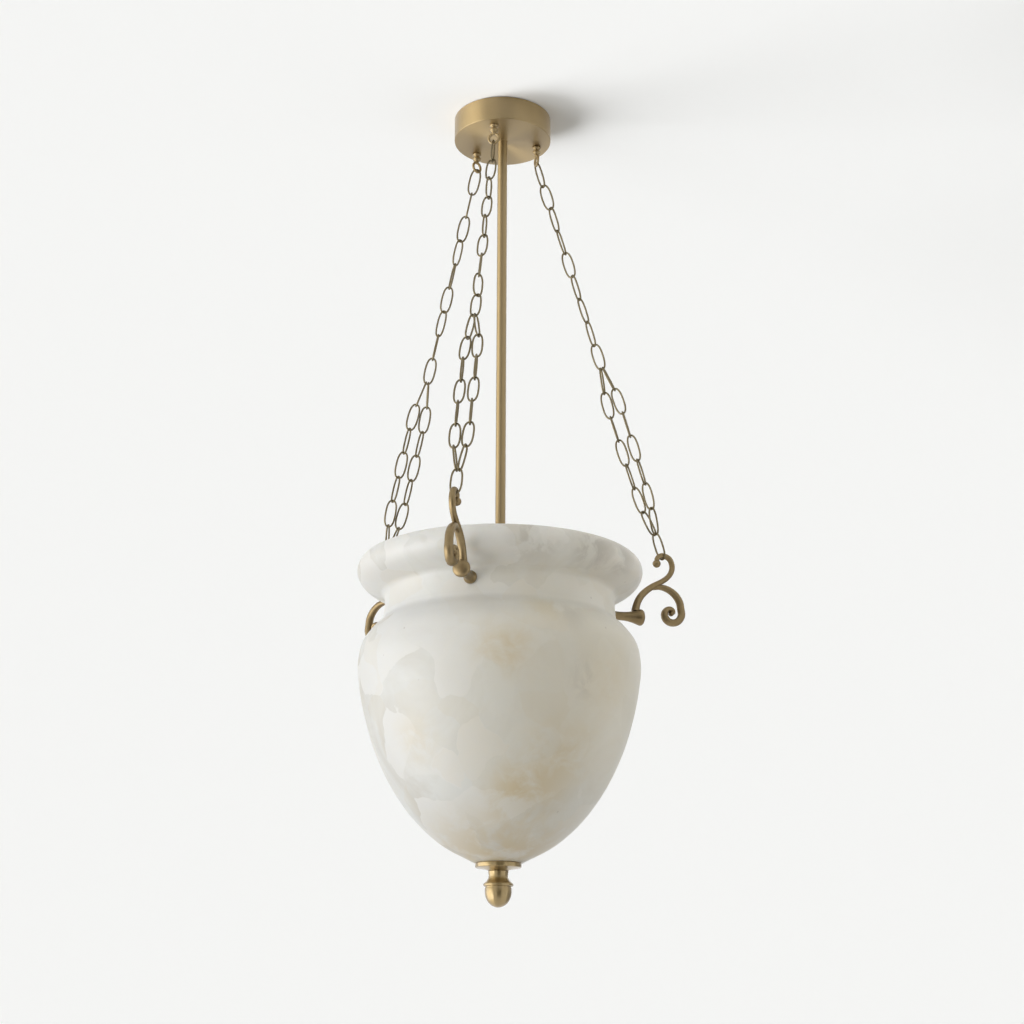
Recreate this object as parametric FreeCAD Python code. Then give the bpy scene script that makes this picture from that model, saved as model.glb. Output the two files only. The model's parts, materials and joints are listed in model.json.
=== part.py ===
"""Alabaster bowl pendant: a turned stone urn hung from a round brass ceiling canopy.

The frame is the ceiling: z = 0 is the ceiling face, +Z points up and everything hangs below it.
The three sides stand 120 degrees apart. A side's own pieces are drawn in its side frame, where
X is the distance from the rod's axis, Y is the tangent and Z is up, and are then turned to it.
All lengths are in millimetres.
"""
import FreeCAD, Part
import math
import os
from FreeCAD import Placement, Rotation, Vector

# ---- driving dimensions -------------------------------------------------------------------
SIDES = {"front": -90.0, "right": 30.0, "left": 150.0}   # directions of the three chains

CEILING = 0.0
CANOPY_R = 60.0
CANOPY_HEIGHT = 30.0
CANOPY_WALL = 1.5
CANOPY_EDGE = 1.2            # eased lower edge
PLATE_RIM_GAP = 4.5          # from the plate's rim to the canopy's wall
PLATE_THICK = 2.5
PLATE_WIRE_HOLE_R = 14.0
SCREW_SPACING = 70.0         # ceiling screws
SLOT_WIDTH = 5.0
SLOT_LENGTH = 12.0
BLOCK_Y = 29.0               # the terminal block's place behind the wires
BLOCK_SIZE = (30.0, 14.0, 12.0)
BLOCK_SCREW_R = 1.5
EARTH_Y = -24.0              # the earth screw's place
EARTH_SCREW_R = 2.0
SCREW_HEAD = 2.0

ROD_R = 6.0
ROD_WALL = 1.0
ROD_BOTTOM = -698.0
WIRE_WAY_R = 3.5             # bore of every hollow nipple
THREAD_GAP = 0.05            # radial, between a thread and its nut
LOOSE_GAP = 0.3              # between a moving piece and its seat
NIPPLE_IN_ROD = 40.0
NIPPLE_ABOVE_FLOOR = 14.0
NIPPLE_NUT_FLATS = 14.0
NIPPLE_NUT_THICK = 4.0
NIPPLE_WASHER_R = 9.0
NIPPLE_WASHER_THICK = 0.8

EYE_CIRCLE_R = 44.6
EYE_SHANK_R = 2.5
EYE_RING_R = 6.0             # to the middle of its wire
EYE_WIRE_R = 1.25
EYE_DROP = 24.6              # from the canopy's floor to the middle of the ring's lowest wire
EYE_BEAD_R = 4.3
EYE_NECK_R = 1.9
EYE_NUT_FLATS = 8.0
EYE_NUT_THICK = 4.0

CHAIN_WIRE_R = 0.95
CHAIN_LINK_WIDTH = 13.4
CHAIN_GAP = 0.2              # slack where two links bear on each other
SINGLE_LINKS = 9
STRAND_LINKS = 7
STRAND_SPREAD = 8.2          # each strand's distance from the middle
STRAND_PINCH = 1.6           # the same, where both hang on one link
STRAND_FLARE = 6.8           # the same, one link away from there
# How far each chain's doubled run is turned from the tangent, and how each link is turned in it.
SPREAD_TURN = {"front": 0.0, "right": 45.0, "left": -45.0}
HOOK_TURN = {"front": 0.0, "right": 10.0, "left": -10.0}     # the same at the bracket's hook
SINGLE_TURNS = {
    "front": (75, 0, 90, 0, 80, 0, 55, 115, 0),
    "right": (50, 0, 50, 100, 10, 55, 115, 55, 0),
    "left": (0, 90, 5, -45, -100, -10, 45, 95, 0),
}
STRAND_TURNS = (90, 0, 75, 0, 75, 0, 90)

BOWL_WALL = 9.0
LIP_R = 164.9
LIP_Z = -589.6               # height of the lip's widest line
LIP_TOP_RADIAL = 17.4
LIP_TOP_RISE = 16.5
LIP_UNDER_RADIAL = 45.5
LIP_UNDER_DROP = 27.2
LIP_OVERHANG = 32.7          # how far the lip reaches past the neck
NECK_HEIGHT = 59.0           # from the lip's widest line down to the belly's start
BELLY_BULGE = 29.1           # how far the belly reaches past the neck
BELLY_DROP = 49.4            # from the neck's foot down to the belly's widest line
BODY_DROP = 222.0            # from there down to the bowl's foot
UPPER_FLANK = (0.944, 0.275)     # shares of the belly's radius and of the body's drop
LOWER_FLANK = (0.861, 0.459)
FOOT_TURN = (0.587, 0.7865)
FOOT_R = 27.0
BOTTOM_THICK = 12.0
BOTTOM_HOLE_R = 5.5

STUD_Z = -628.3
STUD_R = 3.0
STUD_HOLE_R = 3.4
STUD_PAD_THICK = 2.2
STUD_WASHER_R = 8.5
STUD_WASHER_THICK = 1.5
STUD_NUT_FLATS = 10.0
STUD_NUT_THICK = 5.0
STUD_IN_FOOT = 16.0
BRACKET_REACH = 96.8         # from the neck's wall to the outside of the volute
BRACKET_FOOT_LENGTH = 42.8
BRACKET_FLANGE_R = 7.4
HOOK_BAR_R = 3.4
BAR_SIDES = 8                # the cast bars are drawn with eight flats

HUB_R = 22.0
HUB_TOP = -700.0
HUB_HEIGHT = 34.0
HUB_NIPPLE_IN = 14.0
SOCKET_TILT = 45.0           # from the vertical
SOCKET_START = 26.0          # along its own axis, from the hub's middle
SOCKET_R = 13.5
SOCKET_LENGTH = 34.0
SOCKET_FLOOR = 9.0
SOCKET_CUP_R = 15.0
SOCKET_CUP_LENGTH = 16.0
SOCKET_NIPPLE_R = 4.95
SOCKET_NIPPLE_OUT = 7.0      # of the hub's bevel, towards the lampholder
SOCKET_NIPPLE_IN = 6.0       # into the hub
SOCKET_SPACER_R = 6.2
CONTACT_THICK = 1.2
BULB_CAP_R = 7.0
BULB_CAP_LENGTH = 26.0
BULB_R = 15.0
BULB_LENGTH = 58.0
BULB_SHOULDER = 11.0         # from the cap to the glass's full width
BULB_CLEARANCE = 0.3

TIE_ROD_R = 4.0
TIE_ROD_IN_HUB = 7.0
TIE_ROD_IN_FINIAL = 16.2
FINIAL_THREAD_SPARE = 2.8    # of the finial's blind thread, past the rod's end
SEAT_PAD_R = 20.0
INNER_PAD_THICK = 2.0
INNER_PLATE_THICK = 1.5
TIE_NUT_FLATS = 13.0
TIE_NUT_THICK = 6.0
OUTER_PAD_THICK = 1.2
SAUCER_R = 25.7
SAUCER_RIM = 3.6
SAUCER_CONE = 3.4
FINIAL_NECK_R = 11.4
FINIAL_LENGTH = 39.4
FINIAL_BEAD_R = 16.7
ACORN_R = 14.8
FINIAL_BEAD_DROP = 14.8      # from the finial's top to the bead's middle
FINIAL_ACORN_DROP = 18.4     # from the finial's top to the acorn

NECK_R = LIP_R - LIP_OVERHANG
NECK_FOOT_Z = LIP_Z - NECK_HEIGHT
BELLY_R = NECK_R + BELLY_BULGE
BELLY_Z = NECK_FOOT_Z - BELLY_DROP
BOWL_BOTTOM = BELLY_Z - BODY_DROP
FLOOR_Z = CEILING - CANOPY_HEIGHT            # the canopy's underside
FLOOR_TOP = FLOOR_Z + CANOPY_WALL
PLATE_UNDER = CEILING - PLATE_THICK
PLATE_R = CANOPY_R - CANOPY_WALL - PLATE_RIM_GAP
AXIS = Vector(0, 0, 1)
ORIGIN = Vector(0, 0, 0)
parts = {}


# ---- shape helpers ------------------------------------------------------------------------
def turned(outline):
    """A solid of revolution about Z from a closed outline of (radius, z) corners."""
    corners = [Vector(r, 0, z) for r, z in outline]
    return Part.Face(Part.makePolygon(corners + corners[:1])).revolve(ORIGIN, AXIS, 360)


def arc(start, through, end, chords):
    """Corners along the arc through three (radius, z) points."""
    curve = Part.Arc(*[Vector(r, 0, z) for r, z in (start, through, end)])
    return [(p.x, p.z) for p in curve.toShape().discretize(chords + 1)]


def ellipse(centre_r, centre_z, half_r, half_z, start, end, chords):
    """Corners along an ellipse, from one angle to another in degrees."""
    angles = [math.radians(start + (end - start) * i / chords) for i in range(chords + 1)]
    return [(centre_r + half_r * math.cos(a), centre_z + half_z * math.sin(a)) for a in angles]


def disc(radius, bottom, top, bore=0.0):
    solid = Part.makeCylinder(radius, top - bottom, Vector(0, 0, bottom))
    if bore:
        solid = solid.cut(Part.makeCylinder(bore, top - bottom, Vector(0, 0, bottom)))
    return solid


def hex_nut(flats, bottom, top, bore):
    corner = flats / 2 / math.cos(math.radians(30))
    points = [Vector(corner * math.cos(math.radians(a)), corner * math.sin(math.radians(a)), bottom)
              for a in range(0, 361, 60)]
    nut = Part.Face(Part.makePolygon(points)).extrude(Vector(0, 0, top - bottom))
    return nut.cut(disc(bore, bottom, top))


def stroke(points, radii, sides):
    """A bar through side-frame (x, z) points, as a ruled loft of polygons round the given radii."""
    corner = 1 / math.cos(math.pi / sides)
    rings = []
    for i, (x, z) in enumerate(points):
        before = points[max(i - 1, 0)]
        after = points[min(i + 1, len(points) - 1)]
        course = Vector(after[0] - before[0], 0, after[1] - before[1]).normalize()
        across = course.cross(Vector(0, 1, 0))
        ring = []
        for j in range(sides + 1):
            turn = math.radians(360 * (j % sides + 0.5) / sides)
            ring.append(Vector(x, 0, z) + across * (radii[i] * corner * math.cos(turn))
                        + Vector(0, radii[i] * corner * math.sin(turn), 0))
        rings.append(Part.makePolygon(ring))
    return Part.makeLoft(rings, True, True)


def wire_loop(corners, radius, sides=6):
    """A closed loop of wire round a flat path of (x, y) corners, mitred at each of them."""
    count = len(corners)
    rings = []
    for i, corner in enumerate(corners):
        here = Vector(corner[0], corner[1], 0)
        back = (here - Vector(*corners[i - 1], 0)).normalize()
        ahead = (Vector(*corners[(i + 1) % count], 0) - here).normalize()
        half_turn = back.getAngle(ahead) / 2
        outward = (back - ahead).normalize()
        reach = radius / math.cos(half_turn)
        turns = [2 * math.pi * j / sides for j in range(sides)]
        rings.append([here + outward * (reach * math.cos(a)) + AXIS * (radius * math.sin(a))
                      for a in turns])
    faces = []
    for i in range(count):
        ring, following = rings[i], rings[(i + 1) % count]
        for j in range(sides):
            k = (j + 1) % sides
            quad = [ring[j], ring[k], following[k], following[j], ring[j]]
            faces.append(Part.Face(Part.makePolygon(quad)))
    solid = Part.Solid(Part.Shell(faces))
    return solid if solid.Volume > 0 else solid.reversed()


def spline_points(points, count):
    """Evenly spaced (x, z) points on the smooth curve through the given ones."""
    curve = Part.BSplineCurve()
    curve.interpolate([Vector(x, 0, z) for x, z in points])
    return [(p.x, p.z) for p in curve.toShape().discretize(count)]


def graded(values, count):
    """Values spread evenly over a count of places, in straight steps between them."""
    out = []
    for i in range(count):
        place = i * (len(values) - 1) / (count - 1)
        low = min(int(place), len(values) - 2)
        out.append(values[low] + (values[low + 1] - values[low]) * (place - low))
    return out


def along_x(shape, z):
    """Turns a piece drawn along +Z so that it lies along +X at height z."""
    lying = shape.copy()
    lying.rotate(ORIGIN, Vector(0, 1, 0), 90)
    lying.translate(Vector(0, 0, z))
    return lying


def at_side(shape, side):
    placed = shape.copy()
    placed.rotate(ORIGIN, AXIS, SIDES[side])
    return placed


def on_all_sides(shape):
    return Part.makeCompound([at_side(shape, side) for side in SIDES])


# ---- ceiling plate and canopy ---------------------------------------------------------------
def ceiling_plate():
    plate = disc(PLATE_R, PLATE_UNDER, CEILING, PLATE_WIRE_HOLE_R)
    straight = SLOT_LENGTH - SLOT_WIDTH
    for x in (-SCREW_SPACING / 2, SCREW_SPACING / 2):
        slot = Part.makeBox(straight, SLOT_WIDTH, PLATE_THICK,
                            Vector(x - straight / 2, -SLOT_WIDTH / 2, PLATE_UNDER))
        for end in (-straight / 2, straight / 2):
            slot = slot.fuse(Part.makeCylinder(SLOT_WIDTH / 2, PLATE_THICK,
                                               Vector(x + end, 0, PLATE_UNDER)))
        plate = plate.cut(slot.removeSplitter())
    eye_hole = Part.makeCylinder(EYE_SHANK_R + THREAD_GAP, PLATE_THICK,
                                 Vector(EYE_CIRCLE_R, 0, PLATE_UNDER))
    plate = plate.cut(on_all_sides(eye_hole))
    for x, y, radius in ((0, BLOCK_Y, BLOCK_SCREW_R), (0, EARTH_Y, EARTH_SCREW_R)):
        plate = plate.cut(Part.makeCylinder(radius + THREAD_GAP, PLATE_THICK,
                                            Vector(x, y, PLATE_UNDER)))
    return plate


def terminal_block():
    length, width, height = BLOCK_SIZE
    block = Part.makeBox(length, width, height,
                         Vector(-length / 2, BLOCK_Y - width / 2, PLATE_UNDER - height))
    for way in (-1, 0, 1):
        x = way * length / 3
        if way:
            block = block.cut(Part.makeCylinder(1.8, height / 2,
                                                Vector(x, BLOCK_Y - width / 4, PLATE_UNDER - height)))
            block = block.cut(Part.makeCylinder(1.8, height / 2,
                                                Vector(x, BLOCK_Y + width / 4, PLATE_UNDER - height)))
    return block.cut(Part.makeCylinder(BLOCK_SCREW_R + THREAD_GAP, height,
                                       Vector(0, BLOCK_Y, PLATE_UNDER - height)))


def pan_screw(x, y, radius, head_top, tip):
    screw = Part.makeCylinder(radius, tip - head_top, Vector(x, y, head_top))
    return screw.fuse(Part.makeCylinder(radius * 1.9, SCREW_HEAD,
                                        Vector(x, y, head_top - SCREW_HEAD)))


def canopy():
    inner = CANOPY_R - CANOPY_WALL
    shell = turned([(CANOPY_R, CEILING), (CANOPY_R, FLOOR_Z + CANOPY_EDGE),
                    (CANOPY_R - CANOPY_EDGE, FLOOR_Z), (NIPPLE_R + LOOSE_GAP, FLOOR_Z),
                    (NIPPLE_R + LOOSE_GAP, FLOOR_TOP), (inner, FLOOR_TOP), (inner, CEILING)])
    eye_hole = Part.makeCylinder(EYE_SHANK_R + LOOSE_GAP, CANOPY_WALL,
                                 Vector(EYE_CIRCLE_R, 0, FLOOR_Z))
    return shell.cut(on_all_sides(eye_hole))


NIPPLE_R = ROD_R - ROD_WALL - THREAD_GAP


def eye_bolt():
    bottom = FLOOR_Z - EYE_DROP
    ring_top = bottom + 2 * EYE_RING_R
    bead_height = (FLOOR_Z - ring_top) / 2 - 0.5
    outline = [(0, PLATE_UNDER + PLATE_THICK * 0.8), (EYE_SHANK_R, PLATE_UNDER + PLATE_THICK * 0.8),
               (EYE_SHANK_R, FLOOR_Z)]
    outline += arc((EYE_BEAD_R * 0.8, FLOOR_Z), (EYE_BEAD_R, FLOOR_Z - bead_height / 2),
                   (EYE_BEAD_R * 0.7, FLOOR_Z - bead_height), 4)
    second = FLOOR_Z - bead_height - 0.6
    outline += [(EYE_NECK_R, second + 0.3)]
    outline += arc((EYE_BEAD_R * 0.6, second), (EYE_BEAD_R * 0.85, second - bead_height * 0.4),
                   (EYE_NECK_R, second - bead_height * 0.9), 4)
    outline += [(EYE_NECK_R, ring_top), (0, ring_top)]
    corners = [(EYE_RING_R * math.cos(a), EYE_RING_R * math.sin(a))
               for a in (2 * math.pi * (i + 0.5) / 16 for i in range(16))]
    ring = wire_loop(corners, EYE_WIRE_R)
    ring.rotate(ORIGIN, Vector(0, 1, 0), 90)
    ring.translate(Vector(0, 0, bottom + EYE_RING_R))
    bolt = turned(outline).fuse(ring)
    bolt.translate(Vector(EYE_CIRCLE_R, 0, 0))
    return bolt


# ---- rod and lamp cluster -------------------------------------------------------------------
HUB_BOTTOM = HUB_TOP - HUB_HEIGHT
HUB_MIDDLE = HUB_TOP - HUB_HEIGHT / 2
HUB_TOP_R = ROD_R + 2
SOCKET_SPACER_FROM = (HUB_TOP_R + HUB_HEIGHT / 2) * math.sqrt(0.5)   # where the bevel stands


def nipple(bottom, top):
    return disc(NIPPLE_R, bottom, top, WIRE_WAY_R)


def lamp_hub():
    bevel = HUB_R - HUB_TOP_R
    low_bevel = HUB_R * 0.3
    body = turned([(0, HUB_TOP), (HUB_TOP_R, HUB_TOP), (HUB_R, HUB_TOP - bevel),
                   (HUB_R, HUB_BOTTOM + low_bevel), (HUB_R - low_bevel, HUB_BOTTOM),
                   (0, HUB_BOTTOM)])
    body = body.cut(disc(NIPPLE_R + THREAD_GAP, HUB_TOP - HUB_NIPPLE_IN, HUB_TOP))
    body = body.cut(disc(TIE_ROD_R + THREAD_GAP, HUB_BOTTOM, HUB_BOTTOM + TIE_ROD_IN_HUB))
    bore = disc(SOCKET_NIPPLE_R + THREAD_GAP, SOCKET_START - SOCKET_NIPPLE_OUT - SOCKET_NIPPLE_IN,
                HUB_R * 2)
    for side in SIDES:
        body = body.cut(on_socket_axis(bore, side))
    return body


def on_socket_axis(shape, side):
    """Places a piece drawn up +Z from the hub's middle on a socket's tilted axis."""
    placed = shape.copy()
    placed.rotate(ORIGIN, Vector(0, 1, 0), SOCKET_TILT)
    placed.translate(Vector(0, 0, HUB_MIDDLE))
    placed.rotate(ORIGIN, AXIS, SIDES[side] + 180)
    return placed


def lampholder():
    top = SOCKET_START + SOCKET_LENGTH
    body = turned([(SOCKET_NIPPLE_R + THREAD_GAP, SOCKET_START), (SOCKET_R, SOCKET_START),
                   (SOCKET_R, top - 2), (SOCKET_R - 1, top), (BULB_CAP_R + BULB_CLEARANCE, top),
                   (BULB_CAP_R + BULB_CLEARANCE, SOCKET_START + SOCKET_FLOOR),
                   (SOCKET_NIPPLE_R + THREAD_GAP, SOCKET_START + SOCKET_FLOOR)])
    return body


def socket_cup():
    inner = SOCKET_R + THREAD_GAP
    low = SOCKET_START - 1.0
    return turned([(SOCKET_NIPPLE_R + THREAD_GAP, low), (SOCKET_CUP_R - 3, low), (SOCKET_CUP_R, low + 3),
                   (SOCKET_CUP_R, low + SOCKET_CUP_LENGTH), (inner, low + SOCKET_CUP_LENGTH),
                   (inner, SOCKET_START), (SOCKET_NIPPLE_R + THREAD_GAP, SOCKET_START)])


BULB_SEAT = SOCKET_START + SOCKET_FLOOR + 1.5


def contact():
    floor = SOCKET_START + SOCKET_FLOOR
    return disc(BULB_CAP_R - 0.5, floor, floor + CONTACT_THICK)


def bulb_cap():
    top = BULB_SEAT + BULB_CAP_LENGTH
    return turned([(0, BULB_SEAT), (2.4, BULB_SEAT), (2.4, BULB_SEAT + 1.5), (4.2, BULB_SEAT + 3.5),
                   (BULB_CAP_R, BULB_SEAT + 5), (BULB_CAP_R, top), (0, top)])


def bulb_glass():
    low = BULB_SEAT + BULB_CAP_LENGTH
    high = low + BULB_LENGTH
    wall = 1.2
    outside = arc((BULB_R, high - BULB_R * 0.8), (BULB_R * 0.75, high - BULB_R * 0.25), (0, high), 4)
    inside = [(0, high - wall), (BULB_R * 0.68, high - BULB_R * 0.25 - wall),
              (BULB_R - wall, high - BULB_R * 0.85), (BULB_R - wall, low + BULB_SHOULDER + 1),
              (BULB_CAP_R - 1, low)]
    return turned([(BULB_CAP_R + 1, low), (BULB_R, low + BULB_SHOULDER)] + outside + inside)


# ---- bowl -----------------------------------------------------------------------------------
def neck_corner_z():
    """Height where the underside of the lip runs into the neck."""
    cosine = 1 - (LIP_R - NECK_R) / LIP_UNDER_RADIAL
    return LIP_Z - LIP_UNDER_DROP * math.sqrt(1 - cosine ** 2)


def body_point(shares, inward=0.0):
    """A point of the body below the belly, from its shares, moved inward by a wall if asked."""
    return (BELLY_R * shares[0] - inward, BELLY_Z - BODY_DROP * shares[1] + inward * shares[1])


def bowl_outside():
    lip_centre = LIP_R - LIP_UNDER_RADIAL
    turn = math.degrees(math.acos((NECK_R - lip_centre) / LIP_UNDER_RADIAL))
    outline = ellipse(LIP_R - LIP_TOP_RADIAL, LIP_Z, LIP_TOP_RADIAL, LIP_TOP_RISE, 90, 0, 4)
    outline += ellipse(lip_centre, LIP_Z, LIP_UNDER_RADIAL, LIP_UNDER_DROP, 0, -turn, 4)[1:]
    shoulder = (NECK_R + BELLY_BULGE * 0.86, NECK_FOOT_Z - BELLY_DROP * 0.56)
    outline += arc((NECK_R + BELLY_BULGE * 0.08, NECK_FOOT_Z), shoulder, (BELLY_R, BELLY_Z), 4)
    outline += arc((BELLY_R, BELLY_Z), body_point(UPPER_FLANK), body_point(LOWER_FLANK), 3)[1:]
    outline += arc(body_point(LOWER_FLANK), body_point(FOOT_TURN), (FOOT_R, BOWL_BOTTOM), 5)[1:]
    return outline


def bowl_inside():
    """From the hole up to the mouth, one wall inside the outside."""
    wall = BOWL_WALL
    floor = BOWL_BOTTOM + BOTTOM_THICK
    belly = (BELLY_R - wall, BELLY_Z)
    flank = body_point(LOWER_FLANK, wall)
    neck_foot = (NECK_R - wall, NECK_FOOT_Z + wall * 0.2)
    shoulder = (NECK_R - wall + BELLY_BULGE * 0.86, NECK_FOOT_Z - BELLY_DROP * 0.52)
    outline = arc((SEAT_PAD_R + 3, floor), body_point(FOOT_TURN, wall), flank, 4)
    outline += [body_point(UPPER_FLANK, wall), belly]
    outline += arc(belly, shoulder, neck_foot, 2)[1:]
    outline += [(NECK_R - wall, STUD_Z + STUD_WASHER_R * 1.6), (NECK_R - wall * 0.6, LIP_Z - wall * 0.3),
                (LIP_R - LIP_TOP_RADIAL - wall * 0.9, LIP_Z + LIP_TOP_RISE - wall * 0.2)]
    return outline


def bowl():
    floor = BOWL_BOTTOM + BOTTOM_THICK
    outline = bowl_outside() + [(BOTTOM_HOLE_R, BOWL_BOTTOM), (BOTTOM_HOLE_R, floor)] + bowl_inside()
    solid = turned(outline)
    hole = along_x(Part.makeCylinder(STUD_HOLE_R, NECK_R + 10), STUD_Z)
    for side in SIDES:
        solid = solid.cut(at_side(hole, side))
    return solid


# ---- brackets and their fixings -------------------------------------------------------------
# The hook, the S below it and the inner leg are one bar. Points are (distance from the neck's wall,
# height above the stud) and half widths, all in hundredths of the bracket's reach.
HOOK_TO_FOOT = [(64.5, 69.9), (65.5, 76.6), (71.6, 80.5), (81.0, 77.2), (84.7, 68.5), (83.1, 59.8),
                (77.7, 52.6), (68.6, 46.2), (58.9, 40.6), (49.4, 33.6), (42.1, 25.7), (37.6, 16.8),
                (35.3, 7.5)]
HOOK_TOP = HOOK_TO_FOOT[2]
HOOK_BARS = (3.1, 3.4, 3.5, 3.6, 3.5, 3.4, 3.3, 3.5, 4.0, 4.3, 4.4, 4.5, 5.0)
HOOK_BALL_BAR = 5.1
ARM_START = [(60.7, 38.4), (68.0, 40.0), (75.6, 38.9), (83.1, 35.4), (89.5, 29.6), (93.6, 22.4)]
ARM_BARS = (3.5, 4.4, 4.7, 4.8, 4.7, 4.6, 4.4, 4.0, 3.5, 3.0)
VOLUTE_CENTRE = (81.7, 7.4)
VOLUTE_START_BAR = 14.9
VOLUTE_END_BAR = 2.7
VOLUTE_FROM = 27.0           # degrees above level, on the outer side
VOLUTE_SWEEP = 380.0


def bracket_point(point):
    """A point given in hundredths of the reach, in the side frame."""
    return (NECK_R + point[0] * BRACKET_REACH / 100, STUD_Z + point[1] * BRACKET_REACH / 100)


def volute_points(count):
    points = []
    for i in range(count):
        share = i / (count - 1)
        angle = math.radians(VOLUTE_FROM - VOLUTE_SWEEP * share)
        radius = VOLUTE_START_BAR + (VOLUTE_END_BAR - VOLUTE_START_BAR) * share
        points.append((VOLUTE_CENTRE[0] + radius * math.cos(angle),
                       VOLUTE_CENTRE[1] + radius * math.sin(angle)))
    return points


def hook_ball():
    """The round stop at the hook's tip, an eight-sided bead in line with the bar."""
    r = HOOK_BALL_BAR * BRACKET_REACH / 100
    x, z = bracket_point(HOOK_TO_FOOT[0])
    heights = [-r, -r * 0.75, -r * 0.3, r * 0.3, r * 0.75, r]
    rings = [r * 0.12, r * 0.68, r * 0.96, r * 0.96, r * 0.68, r * 0.12]
    return stroke([(x, z + height) for height in heights], rings, BAR_SIDES)


def bracket_foot():
    """The trumpet that stands on the bowl's neck, with a flange and a domed end."""
    back = NECK_R + STUD_PAD_THICK
    span = BRACKET_FOOT_LENGTH
    end = back + span
    shares = ((0, BRACKET_FLANGE_R), (0.07, BRACKET_FLANGE_R), (0.1, 5.9), (0.2, 5.1), (0.42, 5.1),
              (0.6, 6.0), (0.76, 7.9), (0.87, 9.5), (0.92, 9.6), (0.97, 7.6), (1.0, 3.6))
    outline = [(0, back)] + [(r, back + span * share) for share, r in shares] + [(0, end)]
    foot = turned_polygon(outline, 12)
    bore = disc(STUD_R + THREAD_GAP, back, back + STUD_IN_FOOT)
    return along_x(foot.cut(bore), STUD_Z)


def turned_polygon(outline, sides):
    """A turned form with flat sides: a ruled loft through polygons at each (radius, z)."""
    rings = []
    for radius, z in outline[1:-1]:
        points = [Vector(radius * math.cos(2 * math.pi * (j % sides) / sides),
                         radius * math.sin(2 * math.pi * (j % sides) / sides), z)
                  for j in range(sides + 1)]
        rings.append(Part.makePolygon(points))
    return Part.makeLoft(rings, True, True)


def bracket():
    unit = BRACKET_REACH / 100
    course = spline_points([bracket_point(p) for p in HOOK_TO_FOOT], 26)
    main = stroke(course, [bar * unit for bar in graded(HOOK_BARS, len(course))], BAR_SIDES)
    course = spline_points([bracket_point(p) for p in ARM_START + volute_points(12)], 36)
    arm = stroke(course, [bar * unit for bar in graded(ARM_BARS, len(course))], BAR_SIDES)
    casting = main.fuse([arm, hook_ball(), bracket_foot()])
    return casting


def stud_fixings():
    """Each piece on the stud's line, as (name, solid drawn along +Z from the rod's axis)."""
    inner_wall = NECK_R - BOWL_WALL
    washer_face = inner_wall - STUD_PAD_THICK
    nut_face = washer_face - STUD_WASHER_THICK
    foot_back = NECK_R + STUD_PAD_THICK
    return {
        "bracket_studs": disc(STUD_R, nut_face - STUD_NUT_THICK - 1.5, foot_back + STUD_IN_FOOT - 1),
        "outer_stud_pads": disc(BRACKET_FLANGE_R, inner_wall + 4, foot_back, STUD_HOLE_R),
        "inner_stud_pads": disc(STUD_WASHER_R, washer_face, inner_wall + 4, STUD_HOLE_R),
        "stud_washers": disc(STUD_WASHER_R, nut_face, washer_face, STUD_R + THREAD_GAP),
        "stud_nuts": hex_nut(STUD_NUT_FLATS, nut_face - STUD_NUT_THICK, nut_face, STUD_R + THREAD_GAP),
    }


# ---- chains ---------------------------------------------------------------------------------
def chain_link(pitch):
    """One long link, its length along X and its width along Y, with three chords at each end."""
    bend = CHAIN_LINK_WIDTH / 2 - CHAIN_WIRE_R
    half = (pitch + 2 * CHAIN_WIRE_R + CHAIN_GAP) / 2
    centre = half - bend * math.sin(math.radians(60))
    corners = []
    for end, turns in ((1, (-90, -30, 30, 90)), (-1, (90, 150, 210, 270))):
        for turn in turns:
            corners.append((end * centre + bend * math.cos(math.radians(turn)),
                            bend * math.sin(math.radians(turn))))
    return wire_loop(corners, CHAIN_WIRE_R)


def chain_ends():
    """Middle of the first link's upper wire and of the last link's lower wire, in the side frame."""
    ring = Vector(EYE_CIRCLE_R, 0, FLOOR_Z - EYE_DROP)
    hook_r, hook_z = bracket_point(HOOK_TOP)
    hook = Vector(hook_r, 0, hook_z)
    down = (hook - ring).normalize()
    return (ring - down * (EYE_WIRE_R + CHAIN_WIRE_R + CHAIN_GAP),
            hook + down * (HOOK_BAR_R + CHAIN_WIRE_R + CHAIN_GAP))


def strand_offsets():
    middle = [STRAND_SPREAD] * (STRAND_LINKS - 3)
    return [STRAND_PINCH, STRAND_FLARE] + middle + [STRAND_FLARE, STRAND_PINCH]


def strand_places(side):
    """Sideways places of a strand's joints, as (tangential, outward) pairs, from fork to hook."""
    places = []
    for i, offset in enumerate(strand_offsets()):
        share = i / STRAND_LINKS
        turn = SPREAD_TURN[side] + (HOOK_TURN[side] - SPREAD_TURN[side]) * share
        places.append((offset * math.cos(math.radians(turn)), offset * math.sin(math.radians(turn))))
    return places


def strand_steps(side, pitch):
    places = strand_places(side)
    return [math.sqrt(pitch ** 2 - math.dist(a, b) ** 2) for a, b in zip(places, places[1:])]


def chain_pitch(side, length):
    """The pitch at which single run, doubled run and last link fill the length."""
    pitches = SINGLE_LINKS + STRAND_LINKS + 1
    pitch = length / pitches
    for _ in range(20):
        doubled = sum(strand_steps(side, pitch))
        pitch += (length - (SINGLE_LINKS + 1) * pitch - doubled) / pitches
    return pitch


def place_link(link, start, end, wide):
    along = (end - start).normalize()
    width = (wide - along * wide.dot(along)).normalize()
    placed = link.copy()
    placed.Placement = Placement((start + end) * 0.5, Rotation(along, width, along.cross(width), "XYZ"))
    return placed


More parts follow.
